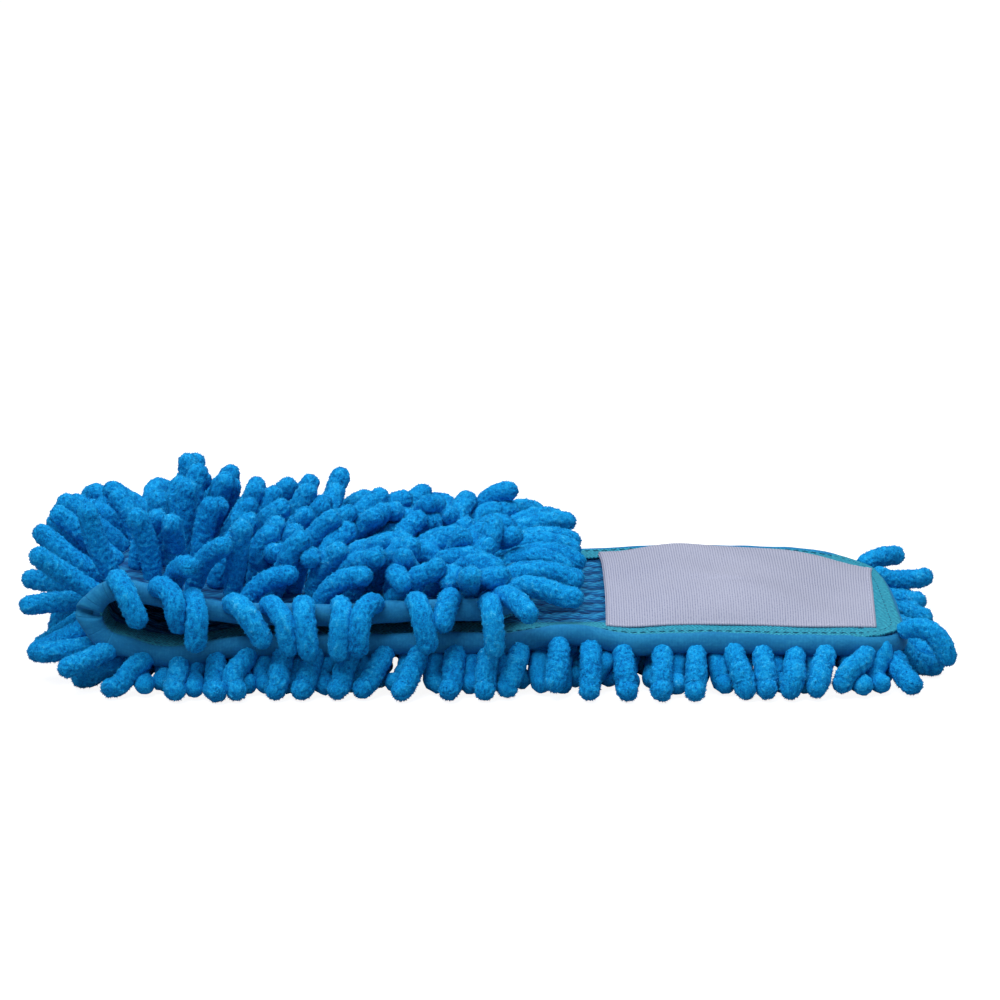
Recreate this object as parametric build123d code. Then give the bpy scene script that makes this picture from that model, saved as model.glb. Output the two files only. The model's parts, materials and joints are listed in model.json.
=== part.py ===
from build123d import *
import os
from math import asin, cos, degrees, hypot, radians, sin, tan

# A chenille wash mitt: a long strip of chenille cloth, bound all round, with a hand pocket on the back
# of each end. It lies noodle side down, with its left part folded over onto the rest.
# Sizes are in millimetres. X runs along the mitt, Y from front to back, Z up. The origin is the middle
# of the bottom of the mitt's box.
#
# Each stretch of the mitt is drawn in its own flat frame: x runs away from the hinge line that the
# stretch starts at, y across, and z = 0 is the chenille side of the base cloth, with +z to the back.

# ---- Driving dimensions -----------------------------------------------------------------------------
PAD_WIDTH = 122.0            # across the mitt, over the binding
LOWER_LENGTH = 288.0         # lower panel, from the first hinge line to its bound end
FLAP_LENGTH = 147.0          # flap, from the last hinge line to its bound end
CORNER_RADIUS = 20.0         # outer radius of the bound corners
PILE_HEIGHT = 17.0           # lower base cloth above the floor, on its pressed noodles

BASE_THICKNESS = 2.6         # chenille base cloth
FACING_THICKNESS = 0.6       # facing tape on the back of the base cloth
FACING_REACH = 17.0          # facing's inner edge, from the mitt's long edges
FACING_END_REACH = 20.0      # facing's inner edge, from the mitt's bound ends
BINDING_WIDTH = 6.5          # edge binding, measured in from the mitt's edge
BINDING_LIP = 2.65           # binding's thickness above and below the cloths that it grips
BINDING_GRIP = 4.0           # how deep the cloths go into the binding
BINDING_ROUND = 3.0          # rounding of the binding's long edges

POCKET_LENGTH = 100.0
POCKET_SIDE_MARGIN = 11.0    # pocket's sewn sides, from the mitt's long edges
POCKET_END_MARGIN = 14.0     # pocket's closed end, from the mitt's bound end
POCKET_SHEET = 0.8
POCKET_FLANGE = 3.0          # flat seam allowance sewn to the facing
POCKET_FULL_SHARE = 0.6      # share of the pocket's length that keeps the full rise
POCKET_END_RISE = 0.4
LOWER_POCKET_RISE = 7.5      # how far the pocket cloth bellies off the cloth below it
FLAP_POCKET_RISE = 6.5
HEM_WIDTH = 8.0              # turned-in hem at the pocket's mouth
HEM_THICKNESS = 0.6
STITCH_LENGTH = 2.8
STITCH_PITCH = 4.0
STITCH_WIDTH = 0.6
STITCH_HEIGHT = 0.3

NOODLE_DIAMETER = 8.0
NOODLE_LENGTH = 24.0
NOODLE_SEAT = 0.25           # noodle's root, off the cloth that it is tufted into
ROW_PITCH_MIN = 9.2          # least distance between noodle rows, across the mitt
COLUMN_PITCH_MIN = 14.0      # least distance between the noodles of one row
EDGE_ROW_INSET = 13.0        # outermost rows, from the mitt's long edges
END_COLUMN_INSET = 11.5      # last noodles, from the mitt's bound end
HINGE_COLUMN_INSET = 4.5     # first noodles, from the hinge line
LOWER_LEAN = 53.0            # lower noodles' tilt from upright, pressed over towards +X
FLAP_LEAN = 50.0             # flap noodles' tilt towards the flap's bound end
FLAP_EDGE_LEAN = 60.0        # tilt of the flap's outermost rows, out over the binding
FIRST_FOLD_LEAN = 8.0        # tilt of the lowest fold noodles, away from the floor

FOLD_SEGMENTS = 5            # stiff strips that the soft fold is divided into
SEGMENT_LENGTH = 5.6
HINGE_GAP = 0.3              # between neighbouring strips, at the hinge line
REST_CLEARANCE = 0.3         # flap's binding above the lower binding, at the flap's bound end

# ---- Sizes that follow ------------------------------------------------------------------------------
HALF_WIDTH = PAD_WIDTH / 2
POCKET_WIDTH = PAD_WIDTH - 2 * POCKET_SIDE_MARGIN
STACK = BASE_THICKNESS + FACING_THICKNESS
BINDING_BACK = STACK + BINDING_LIP
CLOTH_INSET = BINDING_WIDTH - BINDING_GRIP
NOODLE_RADIUS = NOODLE_DIAMETER / 2
ROOT_DEPTH = NOODLE_RADIUS + NOODLE_SEAT
FREE_SPAN = NOODLE_LENGTH - NOODLE_DIAMETER
FLOOR_SPAN = PILE_HEIGHT - ROOT_DEPTH - NOODLE_RADIUS
EDGE_ROW_Y = HALF_WIDTH - EDGE_ROW_INSET
ROWS_PER_SIDE = int(EDGE_ROW_Y / ROW_PITCH_MIN)
ROW_PITCH = EDGE_ROW_Y / ROWS_PER_SIDE
ROWS = 2 * ROWS_PER_SIDE + 1
HINGES = FOLD_SEGMENTS + 1
FAR = 1000.0                 # reach of the blocks that only trim other shapes


def fold_rise(hinge_angle):
    """Height of the last hinge line over the first, for one hinge's bend in degrees."""
    turns = range(1, HINGES)
    return SEGMENT_LENGTH * sum(sin(radians(hinge_angle * turn)) for turn in turns)


def resting_hinge_angle():
    """Bend of each hinge at which the flap's bound end just clears the lower binding."""
    tilt = 0.0
    for _ in range(20):
        drop = fold_rise((180.0 + tilt) / HINGES) - 2 * BINDING_BACK - REST_CLEARANCE
        tilt = degrees(asin(drop / FLAP_LENGTH))
    return (180.0 + tilt) / HINGES


HINGE_ANGLE = resting_hinge_angle()
BEVEL = tan(radians(HINGE_ANGLE / 2))


# ---- Where the stretches lie when the mitt is folded ------------------------------------------------
def stretch_frame(number):
    """Frame of fold strip 1, 2, ... or, past the last strip, of the flap. Frame 0 is the unbent start."""
    x = 0.0
    z = PILE_HEIGHT
    for before in range(1, number):
        x -= SEGMENT_LENGTH * cos(radians(HINGE_ANGLE * before))
        z += SEGMENT_LENGTH * sin(radians(HINGE_ANGLE * before))
    turn = radians(HINGE_ANGLE * number)
    return Plane(origin=(x, 0, z), x_dir=(-cos(turn), 0, sin(turn)), z_dir=(sin(turn), 0, cos(turn)))


LOWER_FRAME = Plane(origin=(0, 0, PILE_HEIGHT), x_dir=(1, 0, 0), z_dir=(0, 0, 1))
FLAP_FRAME = stretch_frame(HINGES)


# ---- Building blocks --------------------------------------------------------------------------------
def prism(x_from, x_to, y_from, y_to, z_from, z_to):
    """Box between two corners."""
    block = Box(x_to - x_from, y_to - y_from, z_to - z_from, align=(Align.MIN, Align.MIN, Align.MIN))
    return Pos(x_from, y_from, z_from) * block


def trim_at_hinges(shape, length=None):
    """Cut the bevelled hinge ends: one at x = 0, and one at x = length where the stretch has two."""
    top = 2 * BINDING_BACK
    start = HINGE_GAP / 2
    end = FAR if length is None else length - HINGE_GAP / 2
    end_top = FAR if length is None else end - BEVEL * top
    if end_top <= start + BEVEL * top:
        top = (end - start) / (2 * BEVEL)
        end_top = start + BEVEL * top
    points = [(start, -FAR), (start, 0), (start + BEVEL * top, top)]
    if end_top > start + BEVEL * top:
        points.append((end_top, top))
    points += [(end, 0), (end, -FAR)] if length else [(end, -FAR)]
    profile = Plane.XZ * make_face(Polyline(*points, close=True))
    return shape & extrude(profile, amount=FAR, both=True)


def rounded_end(length, inset, z_from, z_to):
    """Slab of the mitt's plan, drawn in by inset, square at the hinge and rounded at the bound end."""
    half = HALF_WIDTH - inset
    reach = length - inset
    radius = CORNER_RADIUS - inset
    body = prism(-BINDING_WIDTH, reach, -half, half, z_from, z_to)
    corners = body.edges().filter_by(Axis.Z).group_by(Axis.X)[-1]
    return fillet(corners, radius)


def capsule(span):
    """One noodle: a round-ended rod with its root's centre at the origin, running up z."""
    side = Line((NOODLE_RADIUS, 0), (NOODLE_RADIUS, span))
    tip = CenterArc((0, span), NOODLE_RADIUS, 0, 90)
    middle = Line((0, span + NOODLE_RADIUS), (0, -NOODLE_RADIUS))
    root = CenterArc((0, 0), NOODLE_RADIUS, 270, 90)
    return revolve(Plane.XZ * make_face(side + tip + middle + root), Axis.Z)


def noodle_at(x, y, direction, span):
    """Noodle tufted into the chenille side at x, y, pointing along direction."""
    return Plane(origin=(x, y, -ROOT_DEPTH), z_dir=direction).location * capsule(span)


def row_y(row, front_sign):
    """Place of a noodle row across the mitt, with row 0 at the front edge."""
    return front_sign * (EDGE_ROW_Y - row * ROW_PITCH)


# ---- Panels: the lower panel and the flap -----------------------------------------------------------
def base_cloth(length):
    """Chenille base cloth, with its edges inside the binding."""
    return trim_at_hinges(rounded_end(length, CLOTH_INSET, 0, BASE_THICKNESS))


def facing(length):
    """Facing tape: two side strips and an end strip, on the back of the base cloth."""
    tape = rounded_end(length, CLOTH_INSET, BASE_THICKNESS, STACK)
    inner = HALF_WIDTH - FACING_REACH
    break_x = length - FACING_END_REACH
    side = prism(-FAR, break_x, inner, FAR, 0, STACK)
    other_side = prism(-FAR, break_x, -FAR, -inner, 0, STACK)
    end = prism(break_x, FAR, -FAR, FAR, 0, STACK)
    return [trim_at_hinges(tape & part) for part in (side, other_side, end)]


def binding_tape(length):
    """Whole binding of a panel: a soft roll round the two long edges and the bound end."""
    roll = rounded_end(length, 0, -BINDING_LIP, BINDING_BACK)
    roll -= rounded_end(length, BINDING_WIDTH, -BINDING_LIP, BINDING_BACK)
    faces = roll.edges().group_by(Axis.Z)
    roll = fillet(faces[0] + faces[-1], BINDING_ROUND)
    roll -= rounded_end(length, CLOTH_INSET, 0, STACK)
    return trim_at_hinges(roll)


def binding_parts(length, front_sign):
    """Binding of a panel cut where its corners start: front, back and end."""
    tape = binding_tape(length)
    break_x = length - CORNER_RADIUS
    sides = {}
    for name, sign in (("front", front_sign), ("back", -front_sign)):
        low = 0 if sign > 0 else -FAR
        high = FAR if sign > 0 else 0
        sides[name] = tape & prism(-FAR, break_x, low, high, -FAR, FAR)
    sides["end"] = tape & prism(break_x, FAR, -FAR, FAR, -FAR, FAR)
    return sides


def pocket_section(x, rise):
    """Cross-section of the pocket cloth at x: two flat flanges and an arched middle."""
    edge = POCKET_WIDTH / 2
    spring = edge - POCKET_FLANGE
    under = ThreePointArc((-spring, 0), (0, rise), (spring, 0))
    over = ThreePointArc((spring, POCKET_SHEET), (0, rise + POCKET_SHEET), (-spring, POCKET_SHEET))
    right = Polyline((spring, 0), (edge, 0), (edge, POCKET_SHEET), (spring, POCKET_SHEET))
    left = Polyline((-spring, POCKET_SHEET), (-edge, POCKET_SHEET), (-edge, 0), (-spring, 0))
    plane = Plane(origin=(x, 0, STACK), x_dir=(0, 1, 0), z_dir=(1, 0, 0))
    return plane * make_face(under + right + over + left)


def pocket(length, rise):
    """Pocket cloth, open at its mouth and flat at its sewn end."""
    closed = length - POCKET_END_MARGIN
    mouth = closed - POCKET_LENGTH
    full = mouth + POCKET_FULL_SHARE * POCKET_LENGTH
    flange = closed - POCKET_FLANGE
    open_part = extrude(pocket_section(mouth, rise), amount=full - mouth)
    closing_part = loft([pocket_section(full, rise), pocket_section(flange, POCKET_END_RISE)])
    half = POCKET_WIDTH / 2
    sewn_end = prism(flange, closed, -half, half, STACK, STACK + POCKET_SHEET)
    return open_part + closing_part + sewn_end


def pocket_hem(length, rise):
    """Hem turned in under the pocket's mouth."""
    spring = POCKET_WIDTH / 2 - POCKET_FLANGE
    inner = spring - HEM_THICKNESS * 4
    over = ThreePointArc((-spring, 0), (0, rise), (spring, 0))
    under = ThreePointArc((inner, 0), (0, rise - HEM_THICKNESS), (-inner, 0))
    feet = [Line((spring, 0), (inner, 0)), Line((-inner, 0), (-spring, 0))]
    mouth = length - POCKET_END_MARGIN - POCKET_LENGTH
    plane = Plane(origin=(mouth, 0, STACK), x_dir=(0, 1, 0), z_dir=(1, 0, 0))
    return extrude(plane * make_face(over + feet[0] + under + feet[1]), amount=HEM_WIDTH)


def pocket_seam(length):
    """Stitches that hold the pocket's flanges: down both sides and across the closed end."""
    closed = length - POCKET_END_MARGIN
    mouth = closed - POCKET_LENGTH
    line = (POCKET_WIDTH - POCKET_FLANGE) / 2
    top = STACK + POCKET_SHEET
    side_stitch = Box(STITCH_LENGTH, STITCH_WIDTH, STITCH_HEIGHT, align=(Align.MIN, Align.CENTER, Align.MIN))
    end_stitch = Box(STITCH_WIDTH, STITCH_LENGTH, STITCH_HEIGHT, align=(Align.CENTER, Align.MIN, Align.MIN))
    stitches = []
    for index in range(int((POCKET_LENGTH - POCKET_FLANGE) / STITCH_PITCH)):
        for y in (-line, line):
            stitches.append(Pos(mouth + STITCH_WIDTH + index * STITCH_PITCH, y, top) * side_stitch)
    count = int((POCKET_WIDTH - 2 * POCKET_FLANGE) / STITCH_PITCH)
    for index in range(count):
        y = (index - count / 2) * STITCH_PITCH
        stitches.append(Pos(closed - POCKET_FLANGE / 2, y, top) * end_stitch)
    return stitches


def clears_corner(x, y, length):
    """Whether a noodle's root at x, y stays inside the bound corner."""
    over_x = x - (length - CORNER_RADIUS)
    over_y = abs(y) - (HALF_WIDTH - CORNER_RADIUS)
    if over_x <= 0 or over_y <= 0:
        return True
    return hypot(over_x, over_y) + ROOT_DEPTH <= CORNER_RADIUS - BINDING_WIDTH


def noodle_row(length, row, front_sign, lean, span, edge_lean, edge_span):
    """Noodles of one row. Every second row starts half a pitch further from the hinge."""
    reach = length - END_COLUMN_INSET - HINGE_COLUMN_INSET
    steps = int(2 * reach / COLUMN_PITCH_MIN)
    half_pitch = reach / steps
    y = row_y(row, front_sign)
    at_edge = row in (0, ROWS - 1)
    outward = 1 if y > 0 else -1
    lean_angle = radians(edge_lean if at_edge else lean)
    along = (sin(lean_angle), 0, -cos(lean_angle))
    sideways = (0, outward * sin(lean_angle), -cos(lean_angle))
    noodles = []
    for column in range(row % 2, steps + 1, 2):
        x = HINGE_COLUMN_INSET + column * half_pitch
        if clears_corner(x, y, length):
            noodles.append(noodle_at(x, y, sideways if at_edge else along, edge_span if at_edge else span))
    return noodles


def panel_nodes(prefix, length, front_sign, pocket_rise, noodle_shape):
    """Every node of a panel, in the panel's own flat frame."""
    nodes = {
        f"{prefix}_base_cloth": [base_cloth(length)],
        f"{prefix}_facing": facing(length),
        f"{prefix}_pocket": [pocket(length, pocket_rise)],
        f"{prefix}_pocket_hem": [pocket_hem(length, pocket_rise)],
        f"{prefix}_pocket_seam": pocket_seam(length),
    }
    for side, shape in binding_parts(length, front_sign).items():
        nodes[f"{prefix}_binding_{side}"] = [shape]
    for row in range(ROWS):
        name = f"{prefix}_noodles_row_{row + 1:02d}"
        nodes[name] = noodle_row(length, row, front_sign, **noodle_shape)
    return nodes


# ---- Fold strips ------------------------------------------------------------------------------------
def strip_binding(side):
    """Binding of one fold strip, on one long edge."""
    inner = HALF_WIDTH - BINDING_WIDTH
    bar = prism(0, SEGMENT_LENGTH, inner, HALF_WIDTH, -BINDING_LIP, BINDING_BACK)
    bar = fillet(bar.edges().filter_by(Axis.X), BINDING_ROUND)
    bar -= prism(0, SEGMENT_LENGTH, 0, HALF_WIDTH - CLOTH_INSET, 0, STACK)
    return bar if side > 0 else mirror(bar, Plane.XZ)


def strip_nodes(number):
    """Every node of one fold strip, in the strip's own flat frame."""
    cloth_half = HALF_WIDTH - CLOTH_INSET
    facing_inner = HALF_WIDTH - FACING_REACH
    base = prism(0, SEGMENT_LENGTH, -cloth_half, cloth_half, 0, BASE_THICKNESS)
    tape = prism(0, SEGMENT_LENGTH, facing_inner, cloth_half, BASE_THICKNESS, STACK)
    other_tape = prism(0, SEGMENT_LENGTH, -cloth_half, -facing_inner, BASE_THICKNESS, STACK)
    middle = SEGMENT_LENGTH / 2
    lean = FIRST_FOLD_LEAN if number == 1 else 0.0
    span = FREE_SPAN
    if number == 1:
        slope = cos(radians(HINGE_ANGLE))
        root_height = PILE_HEIGHT + middle * sin(radians(HINGE_ANGLE)) - ROOT_DEPTH * slope
        span = (root_height - NOODLE_RADIUS) / cos(radians(HINGE_ANGLE + lean))
    along = (sin(radians(lean)), 0, -cos(radians(lean)))
    rows = range(number % 2, ROWS, 2)
    return {
        f"fold_{number}_base_cloth": [trim_at_hinges(base, SEGMENT_LENGTH)],
        f"fold_{number}_facing": [trim_at_hinges(part, SEGMENT_LENGTH) for part in (tape, other_tape)],
        f"fold_{number}_binding": [trim_at_hinges(strip_binding(side), SEGMENT_LENGTH) for side in (1, -1)],
        f"fold_{number}_noodles": [noodle_at(middle, row_y(row, 1), along, span) for row in rows],
    }


# ---- The whole mitt ---------------------------------------------------------------------------------
LOWER_NOODLES = {
    "lean": LOWER_LEAN,
    "span": FLOOR_SPAN / cos(radians(LOWER_LEAN)),
    "edge_lean": degrees(asin((1 - (FLOOR_SPAN / FREE_SPAN) ** 2) ** 0.5)),
    "edge_span": FREE_SPAN,
}
FLAP_NOODLES = {
    "lean": FLAP_LEAN,
    "span": FREE_SPAN,
    "edge_lean": FLAP_EDGE_LEAN,
    "edge_span": FREE_SPAN,
}


def solids_in(frame, shapes):
    """The separate solids of a node, moved from a stretch's flat frame to their place."""
    return [solid for shape in shapes for solid in (frame.location * shape).solids()]


def whole_mitt():
    """Every node's solids, with the fold's first hinge line over x = 0."""
    lower = panel_nodes("lower", LOWER_LENGTH, -1, LOWER_POCKET_RISE, LOWER_NOODLES)
    flap = panel_nodes("flap", FLAP_LENGTH, 1, FLAP_POCKET_RISE, FLAP_NOODLES)
    nodes = {name: solids_in(LOWER_FRAME, shapes) for name, shapes in lower.items()}
    for number in range(1, HINGES):
        frame = stretch_frame(number)
        nodes.update({name: solids_in(frame, shapes) for name, shapes in strip_nodes(number).items()})
    nodes.update({name: solids_in(FLAP_FRAME, shapes) for name, shapes in flap.items()})
    return nodes


MITT = whole_mitt()
BOX = Compound([solid for solids in MITT.values() for solid in solids]).bounding_box()
TO_ORIGIN = Vector(-(BOX.min.X + BOX.max.X) / 2, -(BOX.min.Y + BOX.max.Y) / 2, -BOX.min.Z)
HINGE_POINTS = [stretch_frame(number).origin + TO_ORIGIN for number in range(1, HINGES + 1)]

os.makedirs("parts", exist_ok=True)
for node_name, node_solids in MITT.items():
    export_step(Compound([Location(TO_ORIGIN) * solid for solid in node_solids]), f"parts/{node_name}.step")

print("nodes", len(MITT), "box", BOX.size, "hinge angle", round(HINGE_ANGLE, 4))
for point in HINGE_POINTS:
    print("hinge", [round(value, 4) for value in point])
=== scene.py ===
"""Looks of a folded chenille wash mitt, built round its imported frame. All lengths are in metres."""

import json
import logging
import math
from collections.abc import Callable
from dataclasses import dataclass, field
from enum import Enum

import bpy
import numpy as np
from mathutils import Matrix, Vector


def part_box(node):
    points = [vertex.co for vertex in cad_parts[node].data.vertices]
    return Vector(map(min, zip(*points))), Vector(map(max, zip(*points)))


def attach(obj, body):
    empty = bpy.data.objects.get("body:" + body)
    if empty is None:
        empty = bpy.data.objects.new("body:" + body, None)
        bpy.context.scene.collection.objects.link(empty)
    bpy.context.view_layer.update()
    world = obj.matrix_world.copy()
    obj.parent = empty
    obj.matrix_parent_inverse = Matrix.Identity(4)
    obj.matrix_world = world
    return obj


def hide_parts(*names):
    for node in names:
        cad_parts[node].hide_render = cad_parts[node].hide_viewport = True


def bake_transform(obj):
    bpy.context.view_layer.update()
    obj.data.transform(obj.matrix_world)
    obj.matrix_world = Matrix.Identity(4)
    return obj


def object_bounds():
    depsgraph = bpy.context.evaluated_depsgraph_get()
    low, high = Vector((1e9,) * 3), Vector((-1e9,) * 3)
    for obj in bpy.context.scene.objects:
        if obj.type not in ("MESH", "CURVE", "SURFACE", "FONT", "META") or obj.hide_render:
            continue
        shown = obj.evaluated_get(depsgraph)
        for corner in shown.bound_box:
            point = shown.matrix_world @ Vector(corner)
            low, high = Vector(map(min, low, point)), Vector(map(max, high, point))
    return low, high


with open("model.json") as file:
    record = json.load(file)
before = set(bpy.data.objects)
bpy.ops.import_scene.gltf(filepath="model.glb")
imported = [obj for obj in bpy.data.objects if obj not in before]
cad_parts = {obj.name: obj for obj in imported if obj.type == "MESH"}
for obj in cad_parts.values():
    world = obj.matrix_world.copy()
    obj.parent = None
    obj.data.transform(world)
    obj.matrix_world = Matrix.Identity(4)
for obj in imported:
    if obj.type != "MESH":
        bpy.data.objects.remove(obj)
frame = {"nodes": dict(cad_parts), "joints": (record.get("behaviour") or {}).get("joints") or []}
CAD_BOX = [list(corner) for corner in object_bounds()]

LOG = logging.getLogger("wash_mitt")
MM = 0.001
SEED = 20
Stops = tuple[tuple[float, str], ...]


# ---- Small helpers ----------------------------------------------------------------------------------
def linear(hex_colour: str) -> tuple[float, float, float, float]:
    """Turn an sRGB colour into Blender's linear one.

    Args:
        hex_colour: Six hex digits, such as "087bc2".

    Returns:
        Red, green, blue and an alpha of 1.
    """
    parts = [int(hex_colour[i : i + 2], 16) / 255 for i in (0, 2, 4)]
    low = [part / 12.92 for part in parts]
    high = [((part + 0.055) / 1.055) ** 2.4 for part in parts]
    red, green, blue = (a if part <= 0.04045 else b for part, a, b in zip(parts, low, high))
    return red, green, blue, 1.0


def unit(vectors: np.ndarray) -> np.ndarray:
    """Scale vectors, along the last axis, to a length of one."""
    return vectors / np.maximum(np.linalg.norm(vectors, axis=-1, keepdims=True), 1e-12)


def smooth_noise(rng: np.random.Generator, shape: tuple[int, int], cells: tuple[float, float]) -> np.ndarray:
    """Make a random field that repeats at its borders.

    Args:
        rng: Source of the random numbers.
        shape: Rows and columns of the field.
        cells: Blur radius in rows and in columns.

    Returns:
        The field, with a mean of 0 and a spread of 1.
    """
    rows = np.fft.fftfreq(shape[0])[:, None] * cells[0]
    columns = np.fft.fftfreq(shape[1])[None, :] * cells[1]
    blur = np.exp(-2 * math.pi**2 * (rows**2 + columns**2))
    noise = np.fft.ifft2(np.fft.fft2(rng.normal(size=shape)) * blur).real
    return (noise - noise.mean()) / noise.std()


def bump_curve(values: np.ndarray, centre: float, half: float) -> np.ndarray:
    """Smooth hump of height 1 at centre, which reaches 0 half away from it."""
    return np.cos(np.clip((values - centre) / half, -1, 1) * math.pi / 2) ** 2


def ease(values: np.ndarray) -> np.ndarray:
    """Smooth step from 0 to 1 as values go from 0 to 1."""
    share = np.clip(values, 0, 1)
    return share * share * (3 - 2 * share)


@dataclass
class MeshData:
    """Points, faces and per-point values of a mesh in the making."""

    points: list[np.ndarray] = field(default_factory=list)
    quads: list[np.ndarray] = field(default_factory=list)
    triangles: list[np.ndarray] = field(default_factory=list)
    values: dict[str, list[np.ndarray]] = field(default_factory=dict)
    count: int = 0

    def add(self, points: np.ndarray, quads: np.ndarray, triangles: np.ndarray, **values: np.ndarray) -> None:
        """Add a closed shell.

        Args:
            points: Its points, one row each.
            quads: Indices of its four-sided faces.
            triangles: Indices of its triangles.
            values: Values of its points, by attribute name.
        """
        self.points.append(points)
        self.quads.append(quads.reshape(-1, 4) + self.count)
        self.triangles.append(triangles.reshape(-1, 3) + self.count)
        for name, value in values.items():
            self.values.setdefault(name, []).append(value)
        self.count += len(points)

    def add_tube(self, rings: np.ndarray, **values: np.ndarray) -> None:
        """Add a tube whose first and last rings are closed by a point in their middle.

        Args:
            rings: Points as rings, points of a ring, and coordinates.
            values: Values of the rings' points, by attribute name, as rings and points of a ring.
        """
        count, around = rings.shape[:2]
        index = np.arange(count * around).reshape(count, around)
        turned = np.roll(index, -1, axis=1)
        quads = np.stack([index[:-1], turned[:-1], turned[1:], index[1:]], axis=-1)
        start, end = count * around, count * around + 1
        first = np.stack([np.full(around, start), turned[0], index[0]], axis=-1)
        last = np.stack([np.full(around, end), index[-1], turned[-1]], axis=-1)
        middles = np.stack([rings[0].mean(axis=0), rings[-1].mean(axis=0)])
        full = {}
        for name, value in values.items():
            ends = np.stack([value[0].mean(axis=0), value[-1].mean(axis=0)])
            full[name] = np.concatenate([value.reshape(count * around, *value.shape[2:]), ends])
        points = np.concatenate([rings.reshape(-1, 3), middles])
        self.add(points, quads, np.concatenate([first, last]), **full)

    def add_slab(
        self, top: np.ndarray, bottom: np.ndarray, flip: bool = False, **values: np.ndarray
    ) -> None:
        """Add a sheet with two faces and a rim.

        Args:
            top: Grid of points of the upper face.
            bottom: Grid of the lower face, point under point.
            flip: Whether to turn the grid round, so that its faces point outwards.
            values: Values of the grid's points, used on both faces.
        """
        if flip:
            top, bottom = top[::-1], bottom[::-1]
            values = {name: value[::-1] for name, value in values.items()}
        rows, columns = top.shape[:2]
        size = rows * columns
        index = np.arange(size).reshape(rows, columns)
        upper = np.stack([index[:-1, :-1], index[1:, :-1], index[1:, 1:], index[:-1, 1:]], axis=-1)
        lower = upper[..., ::-1] + size
        around = [index[:-1, 0], index[-1, :-1], index[1:, -1][::-1], index[0, 1:][::-1]]
        rim = np.concatenate(around)
        following = np.roll(rim, -1)
        sides = np.stack([following, rim, rim + size, following + size], axis=-1)
        quads = np.concatenate([upper.reshape(-1, 4), lower.reshape(-1, 4), sides])
        full = {}
        for name, value in values.items():
            flat = value.reshape(size, *value.shape[2:])
            full[name] = np.concatenate([flat, flat])
        points = np.concatenate([top.reshape(-1, 3), bottom.reshape(-1, 3)])
        self.add(points, quads, np.zeros((0, 3), int), **full)

    def build(self, name: str, material: bpy.types.Material) -> bpy.types.Object:
        """Make the Blender object.

        Args:
            name: The piece's name.
            material: Its finish.

        Returns:
            The object, in the scene and smooth-shaded.
        """
        points = np.concatenate(self.points)
        quads = np.concatenate(self.quads)
        triangles = np.concatenate(self.triangles)
        mesh = bpy.data.meshes.new(name)
        mesh.vertices.add(len(points))
        mesh.vertices.foreach_set("co", points.astype(np.float32).ravel())
        mesh.loops.add(quads.size + triangles.size)
        corners = np.concatenate([quads.ravel(), triangles.ravel()])
        mesh.loops.foreach_set("vertex_index", corners.astype(np.int32))
        mesh.polygons.add(len(quads) + len(triangles))
        starts = [np.arange(len(quads)) * 4, quads.size + np.arange(len(triangles)) * 3]
        mesh.polygons.foreach_set("loop_start", np.concatenate(starts).astype(np.int32))
        mesh.update(calc_edges=True)
        mesh.validate()
        mesh.shade_smooth()
        for key, value in self.values.items():
            flat = np.concatenate(value).astype(np.float32)
            kind = "FLOAT_VECTOR" if flat.ndim > 1 else "FLOAT"
            attribute = mesh.attributes.new(key, kind, "POINT")
            attribute.data.foreach_set("vector" if flat.ndim > 1 else "value", flat.ravel())
        mesh.materials.append(material)
        piece = bpy.data.objects.new(name, mesh)
        bpy.context.scene.collection.objects.link(piece)
        return piece


# ---- Finishes ---------------------------------------------------------------------------------------
def add_node(
    tree: bpy.types.NodeTree,
    kind: str,
    links: dict | None = None,
    stops: Stops = (),
    **settings: object,
) -> bpy.types.Node:
    """Add one shader node.

    Args:
        tree: The material's node tree.
        kind: The node's type.
        links: Input name or number to a constant, or to a (node, output) pair to link from.
        stops: Places and sRGB colours of a colour ramp, in order.
        settings: Properties of the node.

    Returns:
        The new node.
    """
    node = tree.nodes.new(kind)
    for name, value in settings.items():
        setattr(node, name, value)
    for key, value in (links or {}).items():
        if isinstance(value, tuple) and isinstance(value[0], bpy.types.Node):
            tree.links.new(value[0].outputs[value[1]], node.inputs[key])
        else:
            node.inputs[key].default_value = value
    if stops:
        elements = node.color_ramp.elements
        while len(elements) < len(stops):
            elements.new(0.5)
        for element, (place, colour) in zip(elements, stops):
            element.position = place
            element.color = linear(colour)
    return node


def band_scale(period: float) -> float:
    """Scale at which Blender's wave texture repeats once in period metres."""
    return 2 * math.pi / 20 / period


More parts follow.
